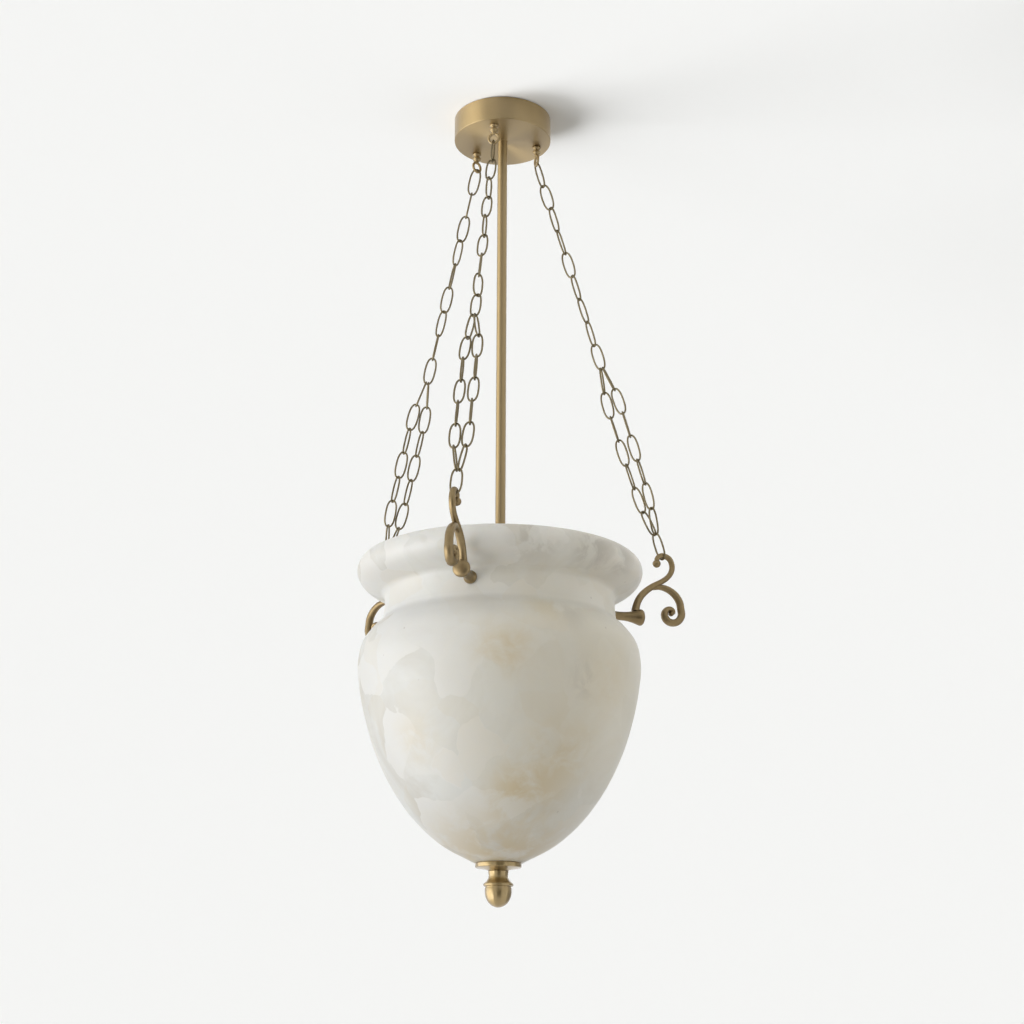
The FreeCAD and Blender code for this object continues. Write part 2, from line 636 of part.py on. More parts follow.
def chain(side):
    """The single run, the two strands and the last link, each a list of solids in the side frame."""
    first, last = chain_ends()
    down = (last - first).normalize()
    bearing = 2 * CHAIN_WIRE_R + CHAIN_GAP
    start = first + down * (bearing / 2)
    length = (last - first).Length - bearing
    pitch = chain_pitch(side, length)
    link = chain_link(pitch)
    tangent = Vector(0, 1, 0)
    outward = down.cross(tangent)

    def turned_wide(turn):
        angle = math.radians(turn)
        return tangent * math.cos(angle) + outward * math.sin(angle)

    single = []
    for i, turn in enumerate(SINGLE_TURNS[side]):
        single.append(place_link(link, start + down * (i * pitch), start + down * ((i + 1) * pitch),
                                 turned_wide(SPREAD_TURN[side] + turn)))
    fork = start + down * (SINGLE_LINKS * pitch)
    places = [tangent * a + outward * b for a, b in strand_places(side)]
    strands = []
    for way in (1, -1):
        strand = []
        here = 0.0
        for i, step in enumerate(strand_steps(side, pitch)):
            middle = SPREAD_TURN[side] + (HOOK_TURN[side] - SPREAD_TURN[side]) * (i + 0.5) / STRAND_LINKS
            strand.append(place_link(link, fork + down * here + places[i] * way,
                                     fork + down * (here + step) + places[i + 1] * way,
                                     turned_wide(middle + STRAND_TURNS[i])))
            here += step
        strands.append(strand)
    foot = fork + down * here
    last_link = place_link(link, foot, foot + down * pitch, turned_wide(HOOK_TURN[side]))
    return single, strands[0], strands[1], [last_link]


# ---- bottom fixing and finial ---------------------------------------------------------------
BOWL_FLOOR = BOWL_BOTTOM + BOTTOM_THICK
PAD_TOP = BOWL_FLOOR + INNER_PAD_THICK
INNER_PLATE_TOP = PAD_TOP + INNER_PLATE_THICK
OUTER_PAD_UNDER = BOWL_BOTTOM - OUTER_PAD_THICK
SAUCER_TOP = OUTER_PAD_UNDER - LOOSE_GAP
SAUCER_UNDER = SAUCER_TOP - SAUCER_RIM - SAUCER_CONE
FINIAL_TOP = SAUCER_UNDER - LOOSE_GAP
FINIAL_BOTTOM = FINIAL_TOP - FINIAL_LENGTH
TIE_ROD_BOTTOM = FINIAL_TOP - TIE_ROD_IN_FINIAL


def saucer():
    rim = SAUCER_TOP - SAUCER_RIM
    bore = TIE_ROD_R + LOOSE_GAP
    outline = [(bore, SAUCER_TOP), (SAUCER_R - 0.8, SAUCER_TOP), (SAUCER_R, SAUCER_TOP - 0.8)]
    outline += [(SAUCER_R, rim + 0.8), (SAUCER_R - 0.8, rim)]
    outline += arc((SAUCER_R - 2.5, rim - 0.3), (SAUCER_R * 0.66, rim - SAUCER_CONE * 0.5),
                   (FINIAL_NECK_R, SAUCER_UNDER), 3)
    return turned(outline + [(bore, SAUCER_UNDER)])


def finial():
    """A turned acorn: a waisted neck, a beaded cap and the nut below it, on a blind thread."""
    top = FINIAL_TOP
    waist = top - 4.8
    bead = top - FINIAL_BEAD_DROP
    acorn = top - FINIAL_ACORN_DROP
    bore = TIE_ROD_R + THREAD_GAP
    thread_end = TIE_ROD_BOTTOM - FINIAL_THREAD_SPARE
    outline = [(0, thread_end), (bore, thread_end), (bore, top)]
    outline += arc((FINIAL_NECK_R, top), (FINIAL_NECK_R - 0.7, waist), (FINIAL_NECK_R + 0.2, top - 8.6), 3)
    outline += [(FINIAL_BEAD_R - 1.0, bead + 1.7)]
    outline += arc((FINIAL_BEAD_R - 0.2, bead + 0.9), (FINIAL_BEAD_R, bead - 0.6),
                   (FINIAL_BEAD_R - 1.0, bead - 1.8), 3)
    outline += [(ACORN_R - 0.6, bead - 2.6), (ACORN_R, acorn - 0.4)]
    outline += ellipse(0, acorn - 5.0, ACORN_R, acorn - 5.0 - FINIAL_BOTTOM, 0, -90, 7)
    return turned(outline)


# ---- build and write ------------------------------------------------------------------------
def build():
    parts["ceiling_plate"] = ceiling_plate()
    plate_nut = hex_nut(EYE_NUT_FLATS, PLATE_UNDER - EYE_NUT_THICK, PLATE_UNDER, EYE_SHANK_R + THREAD_GAP)
    plate_nut.translate(Vector(EYE_CIRCLE_R, 0, 0))
    parts["plate_nuts"] = on_all_sides(plate_nut)
    parts["terminal_block"] = terminal_block()
    parts["block_screw"] = pan_screw(0, BLOCK_Y, BLOCK_SCREW_R, PLATE_UNDER - BLOCK_SIZE[2],
                                     PLATE_UNDER + PLATE_THICK * 0.8)
    parts["earth_screw"] = pan_screw(0, EARTH_Y, EARTH_SCREW_R, PLATE_UNDER - NIPPLE_WASHER_THICK,
                                     PLATE_UNDER + PLATE_THICK * 0.8)
    earth_washer = disc(EARTH_SCREW_R * 2.2, PLATE_UNDER - NIPPLE_WASHER_THICK, PLATE_UNDER,
                        EARTH_SCREW_R + THREAD_GAP)
    earth_washer.translate(Vector(0, EARTH_Y, 0))
    parts["earth_washer"] = earth_washer
    parts["canopy"] = canopy()
    eye_nut = hex_nut(EYE_NUT_FLATS, FLOOR_TOP, FLOOR_TOP + EYE_NUT_THICK, EYE_SHANK_R + THREAD_GAP)
    eye_nut.translate(Vector(EYE_CIRCLE_R, 0, 0))
    parts["eye_nuts"] = on_all_sides(eye_nut)
    eye = eye_bolt()
    for side in SIDES:
        parts["eye_bolt_" + side] = at_side(eye, side)

    washer_top = FLOOR_TOP + NIPPLE_WASHER_THICK
    parts["rod_nipple"] = nipple(FLOOR_Z - NIPPLE_IN_ROD, FLOOR_TOP + NIPPLE_ABOVE_FLOOR)
    parts["nipple_washer"] = disc(NIPPLE_WASHER_R, FLOOR_TOP, washer_top, NIPPLE_R + THREAD_GAP)
    parts["nipple_nut"] = hex_nut(NIPPLE_NUT_FLATS, washer_top, washer_top + NIPPLE_NUT_THICK,
                                  NIPPLE_R + THREAD_GAP)
    parts["rod"] = disc(ROD_R, ROD_BOTTOM, FLOOR_Z, ROD_R - ROD_WALL)
    parts["hub_nipple"] = nipple(HUB_TOP - HUB_NIPPLE_IN, ROD_BOTTOM + NIPPLE_IN_ROD / 2)
    parts["hub_collar"] = disc(HUB_TOP_R, HUB_TOP, ROD_BOTTOM, NIPPLE_R + THREAD_GAP)
    parts["lamp_hub"] = lamp_hub()

    socket_nipple = disc(SOCKET_NIPPLE_R, SOCKET_START - SOCKET_NIPPLE_OUT - SOCKET_NIPPLE_IN,
                         SOCKET_START + SOCKET_FLOOR - 3, WIRE_WAY_R)
    parts["socket_nipples"] = Part.makeCompound([on_socket_axis(socket_nipple, s) for s in SIDES])
    spacer = disc(SOCKET_SPACER_R, SOCKET_SPACER_FROM, SOCKET_START - 1.0,
                  SOCKET_NIPPLE_R + THREAD_GAP)
    parts["socket_spacers"] = Part.makeCompound([on_socket_axis(spacer, s) for s in SIDES])
    parts["socket_cups"] = Part.makeCompound([on_socket_axis(socket_cup(), s) for s in SIDES])
    parts["socket_contacts"] = Part.makeCompound([on_socket_axis(contact(), s) for s in SIDES])
    for number, side in enumerate(SIDES, start=1):
        parts["lampholder_%d" % number] = on_socket_axis(lampholder(), side)
        parts["bulb_cap_%d" % number] = on_socket_axis(bulb_cap(), side)
        parts["bulb_glass_%d" % number] = on_socket_axis(bulb_glass(), side)

    stone = bowl()
    parts["bowl"] = stone
    casting = bracket()
    for side in SIDES:
        parts["bracket_" + side] = at_side(casting, side)
    for name, piece in stud_fixings().items():
        fixings = [at_side(along_x(piece, STUD_Z), side) for side in SIDES]
        if name.endswith("pads"):
            fixings = [fixing.cut(stone) for fixing in fixings]
            fixings = [max(fixing.Solids, key=lambda s: s.Volume) for fixing in fixings]
        parts[name] = Part.makeCompound(fixings)

    for side in SIDES:
        single, outer, inner, last = chain(side)
        for name, links in (("chain_single_", single), ("chain_strand_a_", outer),
                            ("chain_strand_b_", inner), ("hook_link_", last)):
            parts[name + side] = Part.makeCompound([at_side(link, side) for link in links])

    parts["tie_rod"] = disc(TIE_ROD_R, TIE_ROD_BOTTOM, HUB_BOTTOM + TIE_ROD_IN_HUB)
    parts["hub_locknut"] = hex_nut(TIE_NUT_FLATS, HUB_BOTTOM - TIE_NUT_THICK, HUB_BOTTOM,
                                   TIE_ROD_R + THREAD_GAP)
    parts["inner_pad"] = disc(SEAT_PAD_R, BOWL_FLOOR, PAD_TOP, TIE_ROD_R + LOOSE_GAP)
    parts["inner_plate"] = disc(SEAT_PAD_R, PAD_TOP, INNER_PLATE_TOP, TIE_ROD_R + LOOSE_GAP)
    parts["inner_nut"] = hex_nut(TIE_NUT_FLATS, INNER_PLATE_TOP, INNER_PLATE_TOP + TIE_NUT_THICK,
                                 TIE_ROD_R + THREAD_GAP)
    parts["outer_pad"] = disc(SEAT_PAD_R, OUTER_PAD_UNDER, BOWL_BOTTOM, TIE_ROD_R + LOOSE_GAP)
    parts["saucer"] = saucer()
    parts["finial"] = finial()


if __name__ == "__main__":
    build()
    os.makedirs("parts", exist_ok=True)
    for name, shape in parts.items():
        solids = shape.Solids
        if not shape.isValid() or min(solid.Volume for solid in solids) <= 0:
            print("CHECK", name, shape.isValid(), [round(s.Volume, 1) for s in solids])
        shape.exportStep("parts/%s.step" % name)
    first, last = chain_ends()
    print("nodes", len(parts), "solids", sum(len(shape.Solids) for shape in parts.values()))
    bearing = 2 * CHAIN_WIRE_R + CHAIN_GAP
    print("chain pitch %.2f" % chain_pitch("right", (last - first).Length - bearing))
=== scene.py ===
# %% [markdown]
# # Alabaster bowl pendant
# A turned stone bowl hangs by three chains from a brass canopy, with a rod down its middle and an
# acorn finial below. The packed CAD model already has the right size and place, so it is loaded
# first and is the frame for everything here. The pieces that show closely are then built again
# with round wire, smooth turned forms and their real surfaces, and each of them stands for its CAD
# node. The rest of the CAD model stays as it is and is only painted. Lengths are in millimetres
# until a mesh is made, z = 0 is the ceiling, and +Z points up.

# %% Load the CAD model
import json
import math

import bpy
from mathutils import Matrix, Vector


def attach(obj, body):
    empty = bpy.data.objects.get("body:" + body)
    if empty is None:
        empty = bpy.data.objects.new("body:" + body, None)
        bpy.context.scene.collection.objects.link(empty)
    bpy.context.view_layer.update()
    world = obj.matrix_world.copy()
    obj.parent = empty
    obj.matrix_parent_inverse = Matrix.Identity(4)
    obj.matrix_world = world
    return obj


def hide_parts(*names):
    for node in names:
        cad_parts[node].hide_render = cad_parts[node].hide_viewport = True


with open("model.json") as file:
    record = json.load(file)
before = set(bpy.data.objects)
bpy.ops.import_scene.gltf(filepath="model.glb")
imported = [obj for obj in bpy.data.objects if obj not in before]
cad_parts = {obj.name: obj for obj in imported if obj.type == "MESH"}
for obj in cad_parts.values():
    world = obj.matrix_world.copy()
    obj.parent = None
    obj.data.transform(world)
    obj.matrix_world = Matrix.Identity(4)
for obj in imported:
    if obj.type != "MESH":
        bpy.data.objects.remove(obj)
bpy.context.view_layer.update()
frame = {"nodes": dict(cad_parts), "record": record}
nodes = frame["nodes"]

# %% [markdown]
# ## From points to an object
# Each new piece is a mesh worked out from a few sizes. The modelling operators could make it too,
# but they need a selection and a mode, and plain points and faces come out alike on every run. The
# faces are shaded smooth, and an edge stays hard where two faces meet at more than a given angle,
# as the edges of turned metal do.

# %% Make a mesh object
MM = 0.001


def new_mesh(name, piece, sharp=30.0):
    """An object from a piece: its points in millimetres, and its faces."""
    points, faces = piece
    mesh = bpy.data.meshes.new(name)
    mesh.from_pydata([Vector(point) * MM for point in points], [], faces)
    mesh.update()
    for face in mesh.polygons:
        face.use_smooth = True
    mesh.set_sharp_from_angle(angle=math.radians(sharp))
    obj = bpy.data.objects.new(name, mesh)
    bpy.context.scene.collection.objects.link(obj)
    print(name, "has", len(mesh.vertices), "points and", len(mesh.polygons), "faces")
    return obj


print("a mesh is in metres, so a millimetre is", MM)

# %% [markdown]
# ## Standing for a CAD node
# A new piece has to say which body carries it when a joint moves, which finish it has, and which
# CAD nodes it hides. One helper says all three, so that no piece is left behind at a pose or is
# drawn twice. It also keeps the finish by name, for the painting further down.

# %% Hang a piece on its body
finishes = {}


def stands_for(obj, body, slot, *cad):
    """Hangs a finished piece on its body and hides the CAD nodes that it stands for."""
    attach(obj, body)
    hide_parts(*cad)
    finishes[obj.name] = slot
    print(obj.name, "rides on", body, "and stands for", *cad)


print("pieces hung so far:", len(finishes))

# %% [markdown]
# ## Turned forms
# The bowl, canopy, rod, saucer and finial were made on a lathe, so one helper turns an outline
# about the Z axis. Blender's Screw modifier could do it. This way a point on the axis stays one
# single point, which leaves no folded faces at the acorn's tip, and no modifier has to be applied.

# %% Turn an outline about Z
ON_THE_AXIS = 1e-6


def lathe(outline, around, closed=False):
    """A piece turned from (radius, height) points, with the outside on their left."""
    points, faces, rows = [], [], []
    for radius, z in outline:
        if radius < ON_THE_AXIS:
            rows.append([len(points)] * around)
            points.append((0, 0, z))
            continue
        rows.append(list(range(len(points), len(points) + around)))
        for i in range(around):
            turn = 2 * math.pi * i / around
            points.append((radius * math.cos(turn), radius * math.sin(turn), z))
    pairs = list(zip(rows, rows[1:]))
    if closed:
        pairs.append((rows[-1], rows[0]))
    for upper, lower in pairs:
        for i in range(around):
            j = (i + 1) % around
            corners = []
            for index in (upper[i], lower[i], lower[j], upper[j]):
                if index not in corners:
                    corners.append(index)
            if len(corners) > 2:
                faces.append(corners)
    return points, faces


print("a cone of 8 sides has", len(lathe([(0, 1), (1, 0)], 8)[1]), "faces")

# %% [markdown]
# ## Smooth curves
# A carved or cast outline has no straight runs, and a few points with a curve through them are
# easier to correct than many. A Bezier curve would need handles to be set by hand. A Catmull-Rom
# curve passes through its points without any, and the centripetal kind doesn't loop where two
# points stand close together.

# %% Draw a curve through points
def smooth(points, steps):
    """Points on a centripetal Catmull-Rom curve through the given ones."""
    given = [Vector(point) for point in points]
    given = [given[0] * 2 - given[1]] + given + [given[-1] * 2 - given[-2]]
    curve = []
    for i in range(1, len(given) - 2):
        p0, p1, p2, p3 = given[i - 1:i + 3]
        t1 = (p1 - p0).length ** 0.5
        t2 = t1 + (p2 - p1).length ** 0.5
        t3 = t2 + (p3 - p2).length ** 0.5
        for step in range(steps):
            t = t1 + (t2 - t1) * step / steps
            a1 = p0 * ((t1 - t) / t1) + p1 * (t / t1)
            a2 = p1 * ((t2 - t) / (t2 - t1)) + p2 * ((t - t1) / (t2 - t1))
            a3 = p2 * ((t3 - t) / (t3 - t2)) + p3 * ((t - t2) / (t3 - t2))
            b1 = a1 * ((t2 - t) / t2) + a2 * (t / t2)
            b2 = a2 * ((t3 - t) / (t3 - t1)) + a3 * ((t - t1) / (t3 - t1))
            curve.append(b1 * ((t2 - t) / (t2 - t1)) + b2 * ((t - t1) / (t2 - t1)))
    return curve + [given[-2]]


def smooth_outline(points, steps):
    """The same for an outline of (radius, height) points."""
    return [(point.x, point.y) for point in smooth([(*p, 0) for p in points], steps)]


print("3 points in steps of 4 give", len(smooth_outline([(0, 0), (1, 1), (2, 0)], 4)), "points")

# %% [markdown]
# ## The bowl's outside
# The bowl is one block of stone, turned and then honed. Its heavy lip is two quarter ellipses, a
# flat one on top and a deep one below, which meet at the widest place. Under the lip the tool
# left a small hollow instead of a sharp corner. The neck is nearly straight, and the belly swells
# and then runs down to a narrow foot, so it is a smooth curve through twelve points.

# %% Outline the lip, the neck and the belly
LIP_R = 164.9
LIP_Z = -589.6                     # where the lip is widest
LIP_TOP = (17.4, 16.5)             # half axes of the ellipse above that height
LIP_UNDER = (45.5, 27.2)           # half axes of the ellipse below it
LIP_STEPS = 24
NECK_R = 132.2
NECK_FOOT = (NECK_R + 0.1, -632.0)
LIP_HOLLOW = [(2.6, 0.9), (1.0, 2.4), (0.3, 4.6)]   # (out from the neck, below the lip's corner)
BELLY = [(133.2, -641.5), (134.9, -648.6), (145.9, -659.8), (157.0, -676.0), (161.2, -698.0),
         (158.6, -727.0), (151.6, -760.0), (138.8, -800.0), (119.3, -839.0), (94.7, -872.6),
         (64.4, -899.8), (27.0, -920.0)]
BELLY_STEPS = 8


def ellipse_point(half_axes, turn):
    """A point of the lip, on an ellipse that touches its greatest radius."""
    middle = LIP_R - half_axes[0]
    return middle + half_axes[0] * math.cos(turn), LIP_Z + half_axes[1] * math.sin(turn)


def bowl_outside():
    """The outline from the top of the lip down to the foot."""
    outline = [ellipse_point(LIP_TOP, math.radians(90 - 90 * i / LIP_STEPS)) for i in range(LIP_STEPS + 1)]
    at_neck = math.acos((NECK_R - (LIP_R - LIP_UNDER[0])) / LIP_UNDER[0])
    outline += [ellipse_point(LIP_UNDER, -at_neck * i / LIP_STEPS) for i in range(1, LIP_STEPS - 1)]
    corner_z = LIP_Z - LIP_UNDER[1] * math.sin(at_neck)
    outline += [(NECK_R + out, corner_z - below) for out, below in LIP_HOLLOW]
    return outline + [NECK_FOOT] + smooth_outline(BELLY, BELLY_STEPS)


print("the bowl's outside has", len(bowl_outside()), "points")

# %% [markdown]
# ## The bowl's inside
# Inside, the stone is hollowed out to a wall of about 9 mm, with a thicker floor that carries the
# plate and the nut. A Solidify modifier would give the same wall everywhere and a foot that is
# too thin. So the inside is drawn from the belly's own points, moved in by the wall, and the
# outline closes on itself: one turning makes both faces, the hole in the foot and the rim.

# %% Outline the inside and turn the bowl
BOWL_WALL = 9.0
BOWL_BOTTOM = -920.0
BOWL_FLOOR = BOWL_BOTTOM + 12.0    # the inside of the foot
BOTTOM_HOLE_R = 5.5
INSIDE_FLAT_R = 22.0               # the flat that the inner plate lies on
INSIDE_RISE = 3.0                  # how far the inside stands above the belly's points
FOOT_SHARE = 0.75                  # the wall's share near the foot, where it turns level
INSIDE_NECK_Z = (-640.0, -622.0)
INSIDE_LIP = [(126.5, -596.0), (138.5, -575.0)]
INSIDE_STEPS = 6
BOWL_SIDES = 240


def bowl_inside():
    """The outline from the hole in the foot up to the mouth."""
    near_foot = BOWL_WALL * FOOT_SHARE
    points = [(r - near_foot, z + near_foot) for r, z in BELLY[9:10]]
    points += [(r - BOWL_WALL, z + INSIDE_RISE) for r, z in BELLY[8:2:-1]]
    points += [(NECK_R - BOWL_WALL, z) for z in INSIDE_NECK_Z] + INSIDE_LIP
    foot = [(BOTTOM_HOLE_R, BOWL_BOTTOM), (BOTTOM_HOLE_R, BOWL_FLOOR), (INSIDE_FLAT_R, BOWL_FLOOR)]
    return foot + smooth_outline(points, INSIDE_STEPS)


bowl = new_mesh("bowl_stone", lathe(bowl_outside() + bowl_inside(), BOWL_SIDES, closed=True), sharp=40)
stands_for(bowl, "pendant", "alabaster", "bowl")

# %% [markdown]
# ## Bars that follow a path
# Chain wire, the eyes and the scrolled brackets are all bars bent in one plane. A curve object
# with a bevel is the usual way, but its section is the same all along. This helper lays an oval
# across each point of the path and may give it another width at every point, as a forged bracket
# needs.

# %% Sweep an oval along a flat path
def sweep(path, in_plane, across, plane_normal, around=20, closed=False):
    """An oval bar along a path. in_plane and across are its half widths at each point."""
    points, faces = [], []
    count = len(path)
    for i, here in enumerate(path):
        before = path[i - 1] if closed or i else path[i]
        after = path[(i + 1) % count] if closed or i < count - 1 else path[i]
        course = (after - before).normalized()
        normal = course.cross(plane_normal).normalized()
        for j in range(around):
            turn = 2 * math.pi * j / around
            sideways = normal * (in_plane[i] * math.cos(turn))
            points.append(here + sideways + plane_normal * (across[i] * math.sin(turn)))
    for i in range(count if closed else count - 1):
        after = (i + 1) % count
        for j in range(around):
            k = (j + 1) % around
            faces.append((i * around + j, i * around + k, after * around + k, after * around + j))
    if not closed:
        faces.append(tuple(range(around))[::-1])
        faces.append(tuple((count - 1) * around + j for j in range(around)))
    return points, faces


straight = [Vector((0, 0, 0)), Vector((1, 0, 0))]
print("a straight bar has", len(sweep(straight, (1, 1), (1, 1), Vector((0, 1, 0)))[1]), "faces")

# %% [markdown]
# ## Pieces that are put together and turned to a side
# The three chains and brackets are alike, so each is drawn once in its own side frame, where X is
# the distance from the rod's axis and Y is the tangent, and is then turned to its side. Parents
# or instances would do that too, but plain turned points keep each side a mesh of its own.

# %% Join and turn pieces
SIDES = {"front": -90.0, "right": 30.0, "left": 150.0}


def joined(*pieces):
    """Several pieces as one."""
    points, faces = [], []
    for more_points, more_faces in pieces:
        start = len(points)
        points += [Vector(point) for point in more_points]
        faces += [[index + start for index in face] for face in more_faces]
    return points, faces


def moved(piece, matrix):
    """A piece in another place."""
    return [matrix @ Vector(point) for point in piece[0]], piece[1]


def side_turn(side):
    """The turn from a side frame to that side."""
    return Matrix.Rotation(math.radians(SIDES[side]), 4, "Z")


print("the sides stand at", *SIDES.values(), "degrees")

# %% [markdown]
# ## The line that a chain hangs along
# Each chain is pulled straight by the bowl's weight, between the eye under the canopy and the
# hook of its bracket. The first link's wire lies in the eye and the last link's under the hook, so
# the line is a little longer than from the eye to the hook. A chain could be left to settle by a
# simulation, but it would sag or shake, and the real one is taut.

# %% Measure a chain's line
CANOPY_HEIGHT = 30.0
FLOOR_Z = -CANOPY_HEIGHT           # the canopy's underside
EYE_CIRCLE_R = 44.6
EYE_DROP = 24.6                    # from the canopy to the middle of the eye's lowest wire
EYE_WIRE_R = 1.25
HOOK_TOP = (201.5, -550.2)         # the middle of the hook's bar, at its highest
HOOK_BAR_R = 3.4
CHAIN_WIRE_R = 0.95
CHAIN_GAP = 0.2                    # the slack where two links bear on each other
BEARING = 2 * CHAIN_WIRE_R + CHAIN_GAP
TANGENT = Vector((0, 1, 0))


def chain_line():
    """Where the first link starts, the chain's direction and the length that its links fill."""
    ring = Vector((EYE_CIRCLE_R, 0, FLOOR_Z - EYE_DROP))
    hook = Vector((HOOK_TOP[0], 0, HOOK_TOP[1]))
    down = (hook - ring).normalized()
    first = ring - down * (EYE_WIRE_R + CHAIN_WIRE_R + CHAIN_GAP)
    last = hook + down * (HOOK_BAR_R + CHAIN_WIRE_R + CHAIN_GAP)
    return first + down * (BEARING / 2), down, (last - first).length - BEARING


chain_start, chain_down, chain_length = chain_line()
chain_out = chain_down.cross(TANGENT)
print("a chain's links fill", round(chain_length, 1), "mm")

# %% [markdown]
# ## One link
# A link is round wire bent into a long oval. Two half circles and two straights would be the
# textbook form, but the real link bulges a little along its sides. A superellipse does both: its
# exponent goes from an ellipse at 1 towards a box at 0. The wire is drawn a little stouter than
# in the CAD model, because a thin wire before a bright ground looks thinner than it is.

# %% Bend a link
CHAIN_LINK_WIDTH = 13.4
LINK_ROUNDNESS = 0.80
LINK_BULGE = 0.5
LINK_WIRE_SHOWN = 1.12
LINK_STEPS = 40
WIRE_SIDES = 12


def link_mesh(pitch):
    """A link with its length along X and its width along Y."""
    wide = CHAIN_LINK_WIDTH / 2 - CHAIN_WIRE_R + LINK_BULGE
    half = (pitch + BEARING) / 2
    path = []
    for i in range(LINK_STEPS):
        turn = 2 * math.pi * (i + 0.5) / LINK_STEPS
        x = math.copysign(abs(math.cos(turn)) ** LINK_ROUNDNESS, math.cos(turn))
        y = math.copysign(abs(math.sin(turn)) ** LINK_ROUNDNESS, math.sin(turn))
        path.append(Vector((half * x, wide * y, 0)))
    wire = [LINK_WIRE_SHOWN] * LINK_STEPS
    return sweep(path, wire, wire, Vector((0, 0, 1)), WIRE_SIDES, closed=True)


print("a link has", len(link_mesh(31)[0]), "points")

# %% [markdown]
# ## How a chain is made up
# From the eye down a chain is a single run of nine links. There it forks into two strands of
# seven, side by side, which close on one last link on the hook. Real links don't all stand square
# to each other, so each one has its own turn about the chain. The strands lean apart, so their
# links cover less height than the others, and the pitch is fitted in a few rounds until all of
# them fill the line.

# %% Fit the pitch
SINGLE_LINKS = 9
STRAND_LINKS = 7
FITTING_ROUNDS = 20
SPREAD_TURN = {"front": 12.0, "right": -58.0, "left": 40.0}   # the plane in which the strands part
HOOK_TURN = {"front": 0.0, "right": -24.0, "left": 24.0}      # the last link's turn
SINGLE_TURNS = {
    "front": (75, 0, 90, 0, 80, 0, 55, 115, 0),
    "right": (50, 0, 50, 100, 10, 55, 115, 55, 0),
    "left": (0, 90, 5, -45, -100, -10, 45, 95, 0),
}
STRAND_TURNS = (90, 0, 75, 0, 75, 0, 90)
STRAND_OFFSETS = (1.6, 6.8, 8.2, 8.2, 8.2, 8.2, 6.8, 1.6)     # from the line, at each link's end


def strand_turn(side, links):
    """The strands' plane after a number of links, which turns from the fork to the hook."""
    return SPREAD_TURN[side] + (HOOK_TURN[side] - SPREAD_TURN[side]) * links / STRAND_LINKS


def strand_places(side):
    """How far the ends of a strand's links stand from the line, along the tangent and outward."""
    places = []
    for i, offset in enumerate(STRAND_OFFSETS):
        turn = math.radians(strand_turn(side, i))
        places.append(Vector((offset * math.cos(turn), offset * math.sin(turn))))
    return places


def strand_steps(side, pitch):
    """How far down each of a strand's links reaches."""
    places = strand_places(side)
    return [math.sqrt(pitch ** 2 - (b - a).length ** 2) for a, b in zip(places, places[1:])]


def chain_pitch(side):
    """The pitch at which all the links fill the chain's line."""
    pitches = SINGLE_LINKS + STRAND_LINKS + 1
    pitch = chain_length / pitches
    for _ in range(FITTING_ROUNDS):
        straight = (SINGLE_LINKS + 1) * pitch
        pitch += (chain_length - straight - sum(strand_steps(side, pitch))) / pitches
    return pitch


for side in SIDES:
    print("the", side, "chain's pitch is", round(chain_pitch(side), 3), "mm")

# %% [markdown]
# ## Hanging the links
# A link is laid between two points with its broad side turned to an angle about the chain. An
# array modifier can't turn each copy by its own angle, so the links are laid in a loop, and each
# run is one object.

# %% Lay the links of a chain
def link_between(side, link, top, end, turn):
    """The link from one point to another, turned about the chain by an angle in degrees."""
    angle = math.radians(turn)
    broad = TANGENT * math.cos(angle) + chain_out * math.sin(angle)
    along = (end - top).normalized()
    width = (broad - along * broad.dot(along)).normalized()
    third = along.cross(width)
    middle = (top + end) / 2
    rows = [(along[i], width[i], third[i], middle[i]) for i in range(3)]
    return moved(link, side_turn(side) @ Matrix(rows + [(0, 0, 0, 1)]))


def single_run(side, link, pitch):
    """The links from the eye down to the fork."""
    run = []
    for i, turn in enumerate(SINGLE_TURNS[side]):
        top = chain_start + chain_down * (i * pitch)
        end = chain_start + chain_down * ((i + 1) * pitch)
        run.append(link_between(side, link, top, end, SPREAD_TURN[side] + turn))
    return run


def strand(side, link, pitch, way):
    """One of the two strands, on the side of the line that way says: 1 or -1."""
    fork = chain_start + chain_down * (SINGLE_LINKS * pitch)
    offsets = [(TANGENT * place.x + chain_out * place.y) * way for place in strand_places(side)]
    run = []
    reached = 0.0
    for i, step in enumerate(strand_steps(side, pitch)):
        top = fork + chain_down * reached + offsets[i]
        end = fork + chain_down * (reached + step) + offsets[i + 1]
        run.append(link_between(side, link, top, end, strand_turn(side, i + 0.5) + STRAND_TURNS[i]))
        reached += step
    return run


def hook_link(side, link, pitch):
    """The link that closes the strands and hangs on the hook."""
    fork = chain_start + chain_down * (SINGLE_LINKS * pitch)
    foot = fork + chain_down * sum(strand_steps(side, pitch))
    return [link_between(side, link, foot, foot + chain_down * pitch, HOOK_TURN[side])]


print("a chain forks", round(SINGLE_LINKS * chain_pitch("front"), 1), "mm down its line")

# %% [markdown]
# ## The three chains
# Each side's links are joined into four objects, one for each run of the CAD model: the single
# run, the two strands and the link on the hook. Fewer objects would be quicker, but each of them
# has to stand for its own node.

# %% Hang the three chains
for side in SIDES:
    pitch = chain_pitch(side)
    link = link_mesh(pitch)
    runs = {"chain_single_": single_run(side, link, pitch), "chain_strand_a_": strand(side, link, pitch, 1),
            "chain_strand_b_": strand(side, link, pitch, -1), "hook_link_": hook_link(side, link, pitch)}
    for name, links in runs.items():
        obj = new_mesh(name.replace("chain", "wire") + side + "_links", joined(*links))
        stands_for(obj, "pendant", "chain_brass", name + side)

